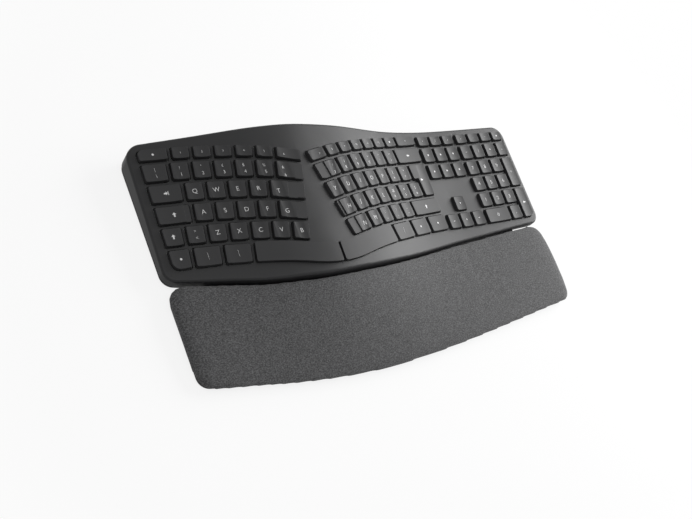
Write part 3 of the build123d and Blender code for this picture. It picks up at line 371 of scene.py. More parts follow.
def moulded(name, colour, roughness=0.5, grain=PLASTIC_GRAIN, depth=PLASTIC_DEPTH, **sockets):
    """Moulded plastic: a fine spark-eroded grain, faint mottling and uneven gloss."""
    made = Finish(name, colour, roughness, **sockets)
    grains = made.noise(grain, detail=3.0, roughness=0.6)
    cloud = made.noise(MOTTLE_SIZE, detail=3.0)
    made.vary(cloud, colour, darkest=0.88, lightest=1.14)
    made.set("Roughness", (roughness - PLASTIC_DROP) + MOTTLE_GLOSS * cloud + GRAIN_GLOSS * grains)
    made.bump(grains, depth, strength=0.6)
    return made.material


def metal(name, colour, roughness):
    """Drawn metal: fine streaks along X in its colour and its gloss."""
    made = Finish(name, colour, roughness, metallic=1.0)
    streak = made.noise(STREAK_SIZE, detail=4.0, roughness=0.6, stretch=STREAK_STRETCH)
    made.vary(streak, colour, darkest=0.85, lightest=1.1)
    made.set("Roughness", (roughness - STREAK_DROP) + STREAK_GLOSS * streak)
    made.bump(streak, STREAK_DEPTH, strength=0.4)
    return made.material


def heather(name, dark, light, fleck):
    """A heather weave: short bright flecks and dashes over dark yarn, with a slow drift of tone."""
    made = Finish(name, dark, roughness=0.92, sheen_weight=0.12, sheen_roughness=0.6)
    flecks = made.noise(fleck * 1.25, roughness=0.65)
    small = made.noise(fleck * 0.45, roughness=0.6)
    dashes = made.noise(fleck * 0.8, detail=1.0, stretch=DASH_STRETCH)
    drift = made.noise(DRIFT_SIZE)
    bright = ((0.50 * flecks + 0.25 * small + 0.35 * dashes - FLECK_LEVEL) * FLECK_CONTRAST).clamp()
    amount = (LEAST_LIGHT + FLECK_LIGHT * bright + DRIFT_LIGHT * drift).clamp()
    made.set("Base Color", made.mix(amount, dark, light))
    made.set("Roughness", YARN_ROUGHNESS - FLECK_GLOSS * bright)
    made.bump(0.6 * small + 0.4 * dashes, WEAVE_DEPTH, strength=0.7)
    return made.material


# Mesh helpers

WELD = 0.002 * MM
BEVEL_STEPS = 2
PLAIN_SHARP = 30


def painted(mesh, material):
    mesh.materials.clear()
    mesh.materials.append(material)


def link(name, mesh, material, body):
    """A new piece with its finish, riding on its body."""
    made = bpy.data.objects.new(name, mesh)
    bpy.context.scene.collection.objects.link(made)
    painted(mesh, material)
    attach(made, body)
    return made


def as_mesh(work, name):
    mesh = bpy.data.meshes.new(name)
    work.to_mesh(mesh)
    work.free()
    return mesh


def merged_copy(node):
    """The node's own triangles with shared corners joined, ready for rounding."""
    work = bmesh.new()
    work.from_mesh(frame["nodes"][node].data)
    bmesh.ops.remove_doubles(work, verts=work.verts, dist=WELD)
    return work


def body_of_node(node):
    return body_of(frame["nodes"][node])[0]


def baked(obj):
    """The evaluated object as a plain mesh, with every modifier applied."""
    bpy.context.view_layer.update()
    graph = bpy.context.evaluated_depsgraph_get()
    mesh = bpy.data.meshes.new_from_object(obj.evaluated_get(graph))
    obj.modifiers.clear()
    return mesh


def smooth_shaded(mesh, sharp=None):
    """Smooth shading, with hard edges past an angle in degrees if one is given."""
    for face in mesh.polygons:
        face.use_smooth = True
    if sharp is not None:
        mesh.set_sharp_from_angle(angle=math.radians(sharp))


def even_normals(obj):
    """Large faces lead the shading, so that slivers and rounded edges leave no streaks on them."""
    weigh = obj.modifiers.new("Weigh", "WEIGHTED_NORMAL")
    weigh.keep_sharp = True
    obj.data = baked(obj)


def bevelled(made, width, corner):
    """Round every edge that turns by more than corner, in degrees."""
    bevel = made.modifiers.new("Edge", "BEVEL")
    bevel.width = width
    bevel.segments = BEVEL_STEPS
    bevel.limit_method = "ANGLE"
    bevel.angle_limit = math.radians(corner)
    made.data = baked(made)


def smoothed(node, material, sharp=PLAIN_SHARP, rounding=0.0, name=None, flat=0.6, corner=40):
    """The node's own shape, smooth. To round its edges, faces within flat degrees are joined first."""
    work = merged_copy(node)
    if rounding:
        bmesh.ops.dissolve_limit(work, angle_limit=math.radians(flat), verts=work.verts, edges=work.edges)
    mesh = as_mesh(work, node + "_smoothed")
    made = link(name or node + "_finished", mesh, material, body_of_node(node))
    if rounding:
        bevelled(made, rounding, corner)
    smooth_shaded(made.data, sharp)
    even_normals(made)
    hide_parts(node)
    return made


def recoated(node, material):
    """A frame node whose shape is right gets its finish."""
    for slot in frame["nodes"][node].material_slots:
        slot.link = "OBJECT"
        slot.material = material


def recelled(made, size):
    """Even mesh cells in place of the node's long triangles."""
    cells = made.modifiers.new("Cells", "REMESH")
    cells.mode = "VOXEL"
    cells.voxel_size = size


def eased(made, name, factor, rounds):
    ease = made.modifiers.new(name, "SMOOTH")
    ease.factor = factor
    ease.iterations = rounds


def corners(faces):
    """The vertices of some faces, each once and in the same order in every run."""
    return list(dict.fromkeys(vert for face in faces for vert in face.verts))


def islands(work):
    """The separate pieces of a mesh, as lists of faces, in the same order in every run."""
    seen = set()
    groups = []
    for seed in work.faces:
        if seed in seen:
            continue
        seen.add(seed)
        group = [seed]
        for face in group:
            for edge in face.edges:
                for near in edge.link_faces:
                    if near not in seen:
                        seen.add(near)
                        group.append(near)
        groups.append(group)
    return groups


# Key caps: the frame's caps with rounded edges

KEY_NODES = sorted(name for name in frame["nodes"] if name.startswith("key") and name != "key_plate")


def finish_caps(look):
    plastic = moulded("graphite_keys", look.cap_colour, roughness=0.50, grain=look.cap_grain,
                      depth=0.008 * MM, specular_ior_level=0.24)
    for node in KEY_NODES:
        smoothed(node, plastic, sharp=50, rounding=look.edge_round,
                 name=node + "_cap", flat=0.05, corner=32)


# The tops of the caps, which carry the legends and give each key's press

LEAST_RISE = 0.8
TOP_AGREEMENT = 0.9
SCOOP_DROP = 1.7 * MM


def top_of_cap(group):
    """Centre of a cap's top, its right, back and normal directions and half sizes, or None."""
    normal = Vector()
    for face in group:
        if face.normal.z > LEAST_RISE:
            normal += face.normal * face.calc_area()
    if normal.length == 0:
        return None
    normal.normalize()
    tops = [face for face in group if face.normal.dot(normal) > TOP_AGREEMENT]
    high = max(vert.co.dot(normal) for face in tops for vert in face.verts)
    tops = [face for face in tops if min(vert.co.dot(normal) for vert in face.verts) > high - SCOOP_DROP]
    verts = corners(tops)
    right = (Vector((1, 0, 0)) - normal * normal.x).normalized()
    back = normal.cross(right)
    us = [vert.co.dot(right) for vert in verts]
    vs = [vert.co.dot(back) for vert in verts]
    level = sum(vert.co.dot(normal) for vert in verts) / len(verts)
    middle = right * (min(us) + max(us)) / 2 + back * (min(vs) + max(vs)) / 2 + normal * level
    return dict(middle=middle, right=right, back=back, normal=normal,
                half=((max(us) - min(us)) / 2, (max(vs) - min(vs)) / 2))


def cap_tops(node):
    """The tops of a node's caps from left to right, and a tree of its faces to drop the ink on."""
    work = merged_copy(node)
    tops = [top for top in map(top_of_cap, islands(work)) if top]
    tree = BVHTree.FromBMesh(work)
    work.free()
    tops.sort(key=lambda top: top["middle"].x)
    return tops, tree


# Legends: plain letters, digits and generic signs, laid on the scooped tops

ARROW_SHARES = [(-0.5, -0.16), (0.05, -0.16), (0.05, -0.42), (0.5, 0.0),
                (0.05, 0.42), (0.05, 0.16), (-0.5, 0.16)]
TURNS = {"right": 0.0, "up": math.pi / 2, "left": math.pi, "down": -math.pi / 2}
DOT_CORNERS = 20


def turned(outline, turn):
    cos, sin = math.cos(turn), math.sin(turn)
    return [(x * cos - y * sin, x * sin + y * cos) for x, y in outline]


def rectangle(half_width, half_height, centre=0.0):
    return [(centre - half_width, -half_height), (centre + half_width, -half_height),
            (centre + half_width, half_height), (centre - half_width, half_height)]


def round_dot():
    angles = [2 * math.pi * step / DOT_CORNERS for step in range(DOT_CORNERS)]
    return [(math.cos(angle) / 2, math.sin(angle) / 2) for angle in angles]


# The outlines of each sign, as shares of its height
SIGNS = {
    "tab": [[(x * 0.8 - 0.1, y) for x, y in ARROW_SHARES], rectangle(0.06, 0.42, centre=0.42)],
    "bar": [rectangle(0.5, 0.07)],
    "dot": [round_dot()],
    "split": [rectangle(0.04, 1.6)],
}
SIGNS.update({way: [turned(ARROW_SHARES, turn)] for way, turn in TURNS.items()})

LETTER = "letter"
PAIR = "pair"
SMALL = "small"


def printed(style, *legends):
    return [(legend, style) for legend in legends]


# The legends of each node's keys, from left to right; a pair is the upper sign and the lower one
LEGENDS = {
    "key_escape": printed(SMALL, "dot"),
    "keys_number_left": printed(PAIR, "| \\", "! 1", "\" 2", "£ 3", "$ 4", "% 5", "& 6"),
    "keys_letters_upper_left": printed(LETTER, *"QWERT"),
    "keys_letters_home_left": printed(LETTER, *"ASDFG"),
    "keys_letters_lower_left": printed(PAIR, "> <") + printed(LETTER, *"ZXCVB"),
    "key_tab": printed(LETTER, "tab"),
    "key_caps_lock": printed(LETTER, "up"),
    "key_shift_left": printed(LETTER, "up"),
    "key_shift_right": printed(LETTER, "up"),
    "key_backspace": printed(LETTER, "left"),
    "key_enter": printed(LETTER, "left"),
    "keys_letters_upper_right": printed(LETTER, *"YUIOP") + printed(PAIR, "[ è", "* +"),
    "keys_letters_home_right": printed(LETTER, *"HJKL") + printed(PAIR, "@ ò", "# à", "§ ù"),
    "keys_letters_lower_right": printed(LETTER, *"NM") + printed(PAIR, "; ,", ": .", "_ -"),
    "keys_number_right": printed(PAIR, "/ 7", "( 8", ") 9", "= 0", "? '", "^ ì"),
    "keys_function_left": printed(SMALL, *"123456"),
    "keys_function_right": printed(SMALL, "7", "8", "9", "10", "11", "12", "dot", "bar"),
    "key_control_left": printed(SMALL, "dot"),
    "key_control_right": printed(SMALL, "dot"),
    "keys_option_command_left": printed(SMALL, "split", "split"),
    "keys_modifiers_right": printed(SMALL, "split", "dot"),
    "key_arrow_left": printed(SMALL, "left"),
    "key_arrow_right": printed(SMALL, "right"),
    "key_arrow_up": printed(SMALL, "up"),
    "key_arrow_down": printed(SMALL, "down"),
    "keys_navigation": printed(SMALL, "dot") * 6,
    "keys_media_row": printed(SMALL, "1", "2", "3", "+", "-", "=", "dot"),
    "keys_numpad_top": printed(SMALL, "bar") + printed(LETTER, *"/*-"),
    "keys_numpad_789": printed(LETTER, *"789"),
    "keys_numpad_456": printed(LETTER, *"456"),
    "keys_numpad_123": printed(LETTER, *"123"),
    "key_numpad_plus": printed(LETTER, "+"),
    "key_numpad_enter": printed(LETTER, "left"),
    "key_numpad_zero": printed(LETTER, "0"),
    "key_numpad_decimal": printed(LETTER, "."),
}
CAPITAL_SHARE = 0.70
STROKE_SHARE = -0.014
CURVE_STEPS = 3
UPPER_PLACE_SHARE = 0.36
LOWER_PLACE_SHARE = 0.40
UPPER_SIZE_SHARE = 0.85
PLAIN_HALF = 7.0 * MM
LEAST_SPARE = 1.5 * MM
PROBE_START = 4 * MM
PROBE_REACH = 9 * MM
WEAR_SIZE = 0.9 * MM


def drawn_sign(work, outlines, size):
    for outline in outlines:
        work.faces.new([work.verts.new((x * size, y * size, 0)) for x, y in outline])


def lettered(work, text, x, y, size):
    """Filled text centred on a place, added to the working mesh."""
    curve = bpy.data.curves.new("legend", "FONT")
    curve.body = text
    curve.size = size / CAPITAL_SHARE
    curve.align_x = "CENTER"
    curve.resolution_u = CURVE_STEPS
    curve.offset = STROKE_SHARE * size
    made = bpy.data.objects.new("legend", curve)
    bpy.context.scene.collection.objects.link(made)
    bpy.context.view_layer.update()
    mesh = bpy.data.meshes.new_from_object(made)
    bpy.data.objects.remove(made)
    mesh.transform(Matrix.Translation((x, y - size / 2, 0)))
    work.from_mesh(mesh)
    bpy.data.meshes.remove(mesh)


def draw_legend(work, legend, look, half_depth, across):
    text, style = legend
    size = {LETTER: look.letter_height, PAIR: look.digit_height, SMALL: look.small_height}[style]
    if text in SIGNS:
        drawn_sign(work, SIGNS[text], size)
    elif style == PAIR:
        upper, lower = text.split(" ")
        lettered(work, upper, across, half_depth * UPPER_PLACE_SHARE, size * UPPER_SIZE_SHARE)
        lettered(work, lower, across, -half_depth * LOWER_PLACE_SHARE, size)
    else:
        lettered(work, text, across, 0, size)


def legend_shift(node, place, count, half_width):
    """The long keys beside the split carry their legend over the square part, away from the split."""
    spare = half_width - PLAIN_HALF
    if count > 1 and spare > LEAST_SPARE:
        if place == count - 1 and node.endswith("_left"):
            return -spare
        if place == 0 and node.endswith("_right"):
            return spare
    return 0.0


def lay_ink(flat, top, tree, lift):
    """Drop a flat legend on the scooped top of its cap, with its faces to the outside."""
    normal = top["normal"]
    for vert in flat.verts:
        point = top["middle"] + top["right"] * vert.co.x + top["back"] * vert.co.y
        ground = tree.ray_cast(point + normal * PROBE_START, -normal, PROBE_REACH)[0]
        vert.co = (ground or point) + normal * lift
    for face in flat.faces:
        face.normal_update()
        if face.normal.dot(normal) < 0:
            face.normal_flip()


def finish_legends(look):
    ink = Finish("legend_ink", look.ink_colour, roughness=0.5)
    wear = ink.noise(WEAR_SIZE, detail=3.0)
    ink.vary(wear, look.ink_colour, darkest=0.86, lightest=1.0)
    for node, legends in LEGENDS.items():
        tops, tree = cap_tops(node)
        whole = bmesh.new()
        for place, (top, legend) in enumerate(zip(tops, legends)):
            half_width, half_depth = top["half"]
            flat = bmesh.new()
            draw_legend(flat, legend, look, half_depth, legend_shift(node, place, len(legends), half_width))
            lay_ink(flat, top, tree, look.ink_lift)
            piece = as_mesh(flat, "legend_part")
            whole.from_mesh(piece)
            bpy.data.meshes.remove(piece)
        mesh = as_mesh(whole, node + "_legends")
        link(node + "_legends", mesh, ink.material, body_of_node(node))


# Palm rest: the cover's outer skin, remeshed and puffed by its foam

STRIP_WIDTH = 8 * MM
END_RADIUS = 22 * MM
CORE_LIFT = 1.0 * MM
HEM_LIFT = 0.1 * MM
DOWNWARD = -0.9
HELD_BAND = 2.5 * MM
PUFF_STEPS = 8
CLOTH = {"quality": 4, "mass": 0.2, "tension_stiffness": 30, "compression_stiffness": 30,
         "bending_stiffness": 2, "use_pressure": True, "uniform_pressure_force": 2.0,
         "vertex_group_mass": "held"}


def strip_spans(work):
    """The front and the back of the mesh in each strip across it."""
    spans = {}
    for vert in work.verts:
        strip = int(vert.co.x // STRIP_WIDTH)
        near, far = spans.get(strip, (vert.co.y, vert.co.y))
        spans[strip] = (min(near, vert.co.y), max(far, vert.co.y))
    return spans


def outer_skin(node):
    """A closed copy of the node's outer skin, told from its lining by the side that its faces look to."""
    work = merged_copy(node)
    low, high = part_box(node)
    spans = strip_spans(work)
    lining = []
    for face in work.faces:
        middle = face.calc_center_median()
        near, far = spans[int(middle.x // STRIP_WIDTH)]
        x = max(low.x + END_RADIUS, min(high.x - END_RADIUS, middle.x))
        core = Vector((x, (near + far) / 2, low.z + CORE_LIFT))
        hem = face.normal.z < DOWNWARD and middle.z < low.z + HEM_LIFT
        if hem or face.normal.dot(middle - core) < 0:
            lining.append(face)
    bmesh.ops.delete(work, geom=lining, context="FACES")
    loose = [edge for edge in work.edges if not edge.link_faces]
    bmesh.ops.delete(work, geom=loose, context="EDGES")
    bmesh.ops.holes_fill(work, edges=[edge for edge in work.edges if edge.is_boundary], sides=0)
    bmesh.ops.recalc_face_normals(work, faces=work.faces)
    return as_mesh(work, node + "_skin")


def finish_palm(look):
    node = "palm_cover"
    weave = heather("woven_fabric", look.dark_yarn, look.light_yarn, look.fleck)
    mesh = outer_skin(node)
    skin = bpy.data.objects.new("palm_skin", mesh.copy())
    bpy.context.scene.collection.objects.link(skin)
    made = link("palm_cushion", mesh, weave, body_of_node(node))
    recelled(made, look.voxel)
    made.data = baked(made)
    eased(made, "Even", factor=0.5, rounds=3)
    snap = made.modifiers.new("Snap", "SHRINKWRAP")
    snap.target = skin
    eased(made, "Last", factor=0.5, rounds=14)
    made.data = baked(made)
    bpy.data.objects.remove(skin)
    puff_cover(made, look.puff)
    painted(made.data, weave)
    smooth_shaded(made.data)
    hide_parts(node)


def puff_cover(made, most):
    """Air pressure stands for the foam: the cover swells a little over its tucked edges."""
    start = [vert.co.copy() for vert in made.data.vertices]
    low = min(point.z for point in start)
    group = made.vertex_groups.new(name="held")
    group.add([i for i, point in enumerate(start) if point.z < low + HELD_BAND], 1.0, "ADD")
    cloth = made.modifiers.new("Cloth", "CLOTH")
    for setting, value in CLOTH.items():
        setattr(cloth.settings, setting, value)
    cloth.settings.effector_weights.gravity = 0
    cloth.point_cache.frame_start = 1
    cloth.point_cache.frame_end = PUFF_STEPS + 2
    scene = bpy.context.scene
    for step in range(PUFF_STEPS):
        scene.frame_set(step + 1)
    puffed = baked(made)
    made.vertex_groups.clear()
    if len(puffed.vertices) != len(start):
        raise RuntimeError("the puffed cover lost vertices")
    for vert, home in zip(puffed.vertices, start):
        move = vert.co - home
        if move.length > most:
            vert.co = home + move * (most / move.length)
    scene.frame_set(1)
    made.data = puffed


# Foams and tray of the palm rest

FOAM_CLOUD = 20 * MM
FOAM_DEPTH = 0.25 * MM
FOAM_RELIEF = 900.0


def foam_finish(name, colour, cell):
    """Open-celled foam: round pores and a slow change of tone."""
    made = Finish(name, colour, roughness=0.95)
    pores = made.cells(cell)
    cloud = made.noise(FOAM_CLOUD)
    made.vary(cloud, colour, darkest=0.85, lightest=1.1)
    made.bump(pores * FOAM_RELIEF, FOAM_DEPTH, strength=0.6)
    return made.material


def finish_foams(look):
    soft = foam_finish("soft_foam", look.soft_colour, cell=0.9 * MM)
    dense = foam_finish("dense_foam", look.dense_colour, cell=0.6 * MM)
    pad = smoothed("palm_memory_foam", soft, sharp=50, name="foam_pad")
    recelled(pad, look.voxel)
    eased(pad, "Ease", factor=0.6, rounds=6)
    pad.data = baked(pad)
    painted(pad.data, soft)
    smooth_shaded(pad.data)
    sheet = smoothed("palm_dense_foam", dense, sharp=50, rounding=0.3 * MM, name="foam_sheet")
    recoated("palm_tray", moulded("tray_plastic", look.tray_colour, roughness=0.6))


# Small repeated pieces by Geometry Nodes

STAR_POINTS = 6
STAR_WAIST_SHARE = 0.68
RING_STEPS = 32
SECTION_STEPS = 8
RING_SECTION_RADIUS = 0.25 * MM


def repeat_tree(name, build, material):
    """A tree that sets one small shape on each vertex of a point mesh."""
    tree = bpy.data.node_groups.new(name, "GeometryNodeTree")
    tree.interface.new_socket("Geometry", in_out="INPUT", socket_type="NodeSocketGeometry")
    size = tree.interface.new_socket("Size", in_out="INPUT", socket_type="NodeSocketFloat")
    size.subtype = "DISTANCE"
    tree.interface.new_socket("Geometry", in_out="OUTPUT", socket_type="NodeSocketGeometry")
    entry, leave = tree.nodes.new("NodeGroupInput"), tree.nodes.new("NodeGroupOutput")
    shape = build(tree, entry.outputs["Size"])
    place = tree.nodes.new("GeometryNodeInstanceOnPoints")
    real = tree.nodes.new("GeometryNodeRealizeInstances")
    paint = tree.nodes.new("GeometryNodeSetMaterial")
    paint.inputs["Material"].default_value = material
    for source, target in ((entry.outputs["Geometry"], place.inputs["Points"]),
                           (shape, place.inputs["Instance"]),
                           (place.outputs[0], real.inputs[0]),
                           (real.outputs[0], paint.inputs[0]),
                           (paint.outputs[0], leave.inputs[0])):
        tree.links.new(source, target)
    return tree, size.identifier


def repeated(name, spots, build, size, material, body):
    """One small shape on every spot, as one plain mesh."""
    points = bpy.data.meshes.new(name + "_spots")
    points.from_pydata([tuple(spot) for spot in spots], [], [])
    made = bpy.data.objects.new(name, points)
    bpy.context.scene.collection.objects.link(made)
    modifier = made.modifiers.new("Repeat", "NODES")
    modifier.node_group, identifier = repeat_tree(name, build, material)
    modifier[identifier] = size
    mesh = baked(made)
    bpy.data.objects.remove(made)
    link(name, mesh, material, body)


def star_shape(tree, size):
    """A flat six-pointed star that faces down, carrying the painted shade of the recessed drive in a
    screw's head.
    """
    star = tree.nodes.new("GeometryNodeCurveStar")
    star.inputs["Points"].default_value = STAR_POINTS
    tree.links.new(size, star.inputs["Outer Radius"])
    waist = Wire(tree, size) * STAR_WAIST_SHARE
    tree.links.new(waist.socket, star.inputs["Inner Radius"])
    fill = tree.nodes.new("GeometryNodeFillCurve")
    tree.links.new(star.outputs["Curve"], fill.inputs["Curve"])
    flip = tree.nodes.new("GeometryNodeFlipFaces")
    tree.links.new(fill.outputs[0], flip.inputs[0])
    return flip.outputs[0]


def ring_shape(tree, size):
    """A low rounded ring, moulded on the underside of a foot."""
    line = tree.nodes.new("GeometryNodeCurvePrimitiveCircle")
    line.inputs["Resolution"].default_value = RING_STEPS
    tree.links.new(size, line.inputs["Radius"])
    section = tree.nodes.new("GeometryNodeCurvePrimitiveCircle")
    section.inputs["Resolution"].default_value = SECTION_STEPS
    section.inputs["Radius"].default_value = RING_SECTION_RADIUS
    sweep = tree.nodes.new("GeometryNodeCurveToMesh")
    tree.links.new(line.outputs["Curve"], sweep.inputs["Curve"])
    tree.links.new(section.outputs["Curve"], sweep.inputs["Profile Curve"])
    return sweep.outputs[0]


def piece_spots(node, lift):
    """The middle of the underside of every separate solid of a node, lifted a little."""
    work = merged_copy(node)
    spots = []
    for group in islands(work):
        verts = corners(group)
        low = min(vert.co.z for vert in verts)
        xs, ys = [vert.co.x for vert in verts], [vert.co.y for vert in verts]
        spots.append(Vector(((min(xs) + max(xs)) / 2, (min(ys) + max(ys)) / 2, low + lift)))
    work.free()
    return sorted(spots, key=lambda spot: (spot.x, spot.y))


# Case, legs, screws and feet

# How far the painted shade star of a screw's drive sits from the head's underside
DRIVE_LIFT = -0.02 * MM
FOOT_RING_LIFT = 0.12 * MM
BASE_GRAIN_SHARE = 1.4


def finish_case(look):
    deck = moulded("graphite_case", look.deck_colour, roughness=0.47, grain=look.grain_size,
                   depth=0.010 * MM, specular_ior_level=0.24)
    base = moulded("black_base", look.base_colour, roughness=0.62, depth=0.020 * MM,
                   grain=look.grain_size * BASE_GRAIN_SHARE, specular_ior_level=0.2)
    smoothed("top_case", deck)
    smoothed("bottom_case", base)
    smoothed("battery_door", base)
    for side in ("left", "right"):
        smoothed("tilt_leg_long_" + side, base, rounding=look.leg_round)
        smoothed("tilt_leg_short_" + side, base, rounding=look.leg_round)


def finish_fixings(look):
    steel = metal("blackened_steel", look.screw_colour, roughness=0.38)
    bright = metal("steel", look.pin_colour, roughness=0.30)
    rubber = moulded("foot_rubber", look.rubber_colour, roughness=0.86, grain=0.5 * MM, depth=0.03 * MM)
    # Painted shade: the near-black finish of the flat stars that stand for the screws' recessed drives.
    dark = moulded("drive_shadow", look.drive_shade_colour, roughness=0.9)
    smoothed("case_screws", steel, sharp=35, rounding=look.screw_round)
    smoothed("leg_pins", bright, sharp=35)
    smoothed("rubber_feet", rubber, sharp=35, rounding=look.foot_round)
    # The drives are flat near-black stars on the screw heads: painted shade in place of their recesses.
    repeated("screw_drives", piece_spots("case_screws", DRIVE_LIFT), star_shape, look.drive_radius,
             dark, body_of_node("case_screws"))
    repeated("foot_rings", piece_spots("rubber_feet", FOOT_RING_LIFT), ring_shape, look.foot_ring,
             rubber, body_of_node("rubber_feet"))


# Key mechanism: film, plate, and the domes and links as a pressed key leaves them

KEY_TRAVEL = 1.8 * MM
PRESS_ROOM = 0.15 * MM
LEAST_SHARE = 0.15


def pressed_copy(node, material, tops):
    """The node's pieces, each squeezed along its own key's press by the key's travel."""
    work = merged_copy(node)
    for group in islands(work):
        verts = corners(group)
        middle = sum((vert.co for vert in verts), Vector()) / len(verts)
        up = min(tops, key=lambda top: (top["middle"] - middle).length)["normal"]
        heights = [vert.co.dot(up) for vert in verts]
        low, tall = min(heights), max(heights) - min(heights)
        lost = 1.0 - max(LEAST_SHARE, 1.0 - (KEY_TRAVEL + PRESS_ROOM) / tall)
        for vert in verts:
            vert.co -= up * ((vert.co.dot(up) - low) * lost)
    mesh = as_mesh(work, node + "_pressed")
    made = link(node + "_finished", mesh, material, body_of_node(node))
    smooth_shaded(mesh, PLAIN_SHARP)
    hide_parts(node)


def finish_mechanism(look):
    film = moulded("membrane_film", look.film_colour, roughness=0.35, grain=1.2 * MM, depth=0.004 * MM)
    rubber = moulded("dome_rubber", look.dome_colour, roughness=0.6, grain=0.4 * MM, depth=0.01 * MM)
    nylon = moulded("link_plastic", look.link_colour, roughness=0.48, grain=0.3 * MM, depth=0.008 * MM)
    plate = metal("plate_steel", look.plate_colour, roughness=0.48)
    recoated("membrane_sheet", film)
    tops = [top for node in KEY_NODES for top in cap_tops(node)[0]]
    pressed_copy("rubber_domes", rubber, tops)
    pressed_copy("scissor_links", nylon, tops)
    recoated("key_plate", plate)


# Board, cells and switch

def finish_power(look):
    board = moulded("board_green", look.board_colour, roughness=0.35, grain=0.6 * MM, depth=0.006 * MM)
    jacket = moulded("cell_jacket", look.jacket_colour, roughness=0.32, grain=2.0 * MM, depth=0.004 * MM)
    recoated("circuit_board", board)
    smoothed("power_cells", jacket, rounding=look.cell_round)
    recoated("cell_contacts", metal("contact_metal", look.contact_colour, roughness=0.26))
    recoated("switch_body", moulded("switch_plastic", look.switch_colour, roughness=0.55))
    knob = moulded("knob_plastic", look.knob_colour, roughness=0.48)
    smoothed("switch_knob", knob, rounding=look.knob_round)


# Studio

CAMERA_PLACE = Vector((-0.48166, -0.21636, 0.53958))
CAMERA_YAW, CAMERA_PITCH, CAMERA_ROLL = 1.1471, 0.90331, 0.8483
CAMERA_LENS, CAMERA_SENSOR = 40.43, 36
CAMERA_SHIFT = (0.04889, 0.06462)
CAMERA_CLIP = (0.01, 50)
FLOOR_RADIUS = 4.0
FLOOR_SIDES = 96
FLOOR_COLOUR = (0.86, 0.86, 0.86)
# Share of plain white that the camera sees near the object, and where it starts to rise to all of it
FLOOR_WHITE = 0.84
FADE_START = 0.34
FADE_RATE = 3.2
OVERHEAD_PLACE, OVERHEAD_AIM, OVERHEAD_SIZE = (-0.50, -0.10, 1.2), (0, 0, 0), (0.9, 0.9)
SIDE_PLACE, SIDE_AIM, SIDE_SIZE = (1.25, 0.16, 0.58), (0.05, 0, 0), (1.15, 1.0)


def make_camera():
    cos, sin = math.cos, math.sin
    flat = cos(CAMERA_PITCH)
    ahead = Vector((sin(CAMERA_YAW) * flat, cos(CAMERA_YAW) * flat, -sin(CAMERA_PITCH)))
    level = Vector((cos(CAMERA_YAW), -sin(CAMERA_YAW), 0))
    over = level.cross(ahead)
    right = level * cos(CAMERA_ROLL) + over * sin(CAMERA_ROLL)
    up = over * cos(CAMERA_ROLL) - level * sin(CAMERA_ROLL)
    data = bpy.data.cameras.new("Camera")
    data.sensor_width = CAMERA_SENSOR
    data.lens = CAMERA_LENS
    data.shift_x, data.shift_y = CAMERA_SHIFT
    data.clip_start, data.clip_end = CAMERA_CLIP
    camera = bpy.data.objects.new("Camera", data)
    bpy.context.scene.collection.objects.link(camera)
    turn = Matrix((right, up, -ahead)).transposed().to_4x4()
    camera.matrix_world = Matrix.Translation(CAMERA_PLACE) @ turn
    bpy.context.scene.camera = camera


def seen_directly(tree):
    """1 for rays that come from the camera, a mirror or glass, 0 for the light that falls on things."""
    path = tree.nodes.new("ShaderNodeLightPath")
    return (Wire(tree, path.outputs["Is Camera Ray"]) + Wire(tree, path.outputs["Is Glossy Ray"])
            + Wire(tree, path.outputs["Is Transmission Ray"])).clamp()


def make_world(strength):
    world = bpy.data.worlds.new("Studio")
    world.use_nodes = True
    tree = world.node_tree
    light = tree.nodes["Background"]
    light.inputs["Color"].default_value = (1, 1, 1, 1)
    level = seen_directly(tree) * (1.0 - strength) + strength
    tree.links.new(level.socket, light.inputs["Strength"])
    bpy.context.scene.world = world


def floor_finish():
    """A pale floor that takes the object's shadow and fades to plain white for the camera."""
    made = Finish("studio_floor", FLOOR_COLOUR, roughness=0.9)
    split = made.node("ShaderNodeSeparateXYZ", vector=made.place)
    x, y = made.wire(split.outputs[0]), made.wire(split.outputs[1])
    far = (x ** 2.0 + y ** 2.0) ** 0.5
    fade = ((far - FADE_START) * FADE_RATE).clamp()
    white = (fade * (1.0 - FLOOR_WHITE) + FLOOR_WHITE) * seen_directly(made.tree)
    glow = made.node("ShaderNodeEmission")
    blend = made.node("ShaderNodeMixShader", i0=white, i1=made.shader.outputs[0], i2=glow.outputs[0])
    made.tree.links.new(blend.outputs[0], made.tree.nodes["Material Output"].inputs["Surface"])
    return made.material


def make_floor():
    work = bmesh.new()
    bmesh.ops.create_circle(work, cap_ends=True, segments=FLOOR_SIDES, radius=FLOOR_RADIUS)
    for face in work.faces:
        if face.normal.z < 0:
            face.normal_flip()
    mesh = as_mesh(work, "floor")
    floor = bpy.data.objects.new("floor", mesh)
    bpy.context.scene.collection.objects.link(floor)
    painted(mesh, floor_finish())


def make_lamp(name, place, aim, size, power):
    data = bpy.data.lights.new(name, "AREA")
    data.shape = "RECTANGLE"
    data.size, data.size_y = size
    data.energy = power
    lamp = bpy.data.objects.new(name, data)
    bpy.context.scene.collection.objects.link(lamp)
    lamp.location = place
    lamp.rotation_euler = (Vector(aim) - Vector(place)).to_track_quat("-Z", "Y").to_euler()


def make_studio(look):
    make_world(look.room)
    make_floor()
    make_lamp("Overhead", OVERHEAD_PLACE, OVERHEAD_AIM, OVERHEAD_SIZE, look.key_power)
    make_lamp("Side", SIDE_PLACE, SIDE_AIM, SIDE_SIZE, look.side_power)
    make_camera()
    bpy.context.scene.view_settings.view_transform = "Standard"


# Operators, panel and registration

class KEYBOARD_OT_key_caps(bpy.types.Operator):
    """Round the edges of the key caps and give them their moulded finish"""
    bl_idname = "keyboard.key_caps"
    bl_label = "Key caps"

    def execute(self, context):
        finish_caps(context.scene.keyboard_keys)
        return {"FINISHED"}


class KEYBOARD_OT_legends(bpy.types.Operator):
    """Print plain letters, digits and signs on the scooped key tops"""
    bl_idname = "keyboard.legends"
    bl_label = "Legends"

    def execute(self, context):
        finish_legends(context.scene.keyboard_keys)
        return {"FINISHED"}


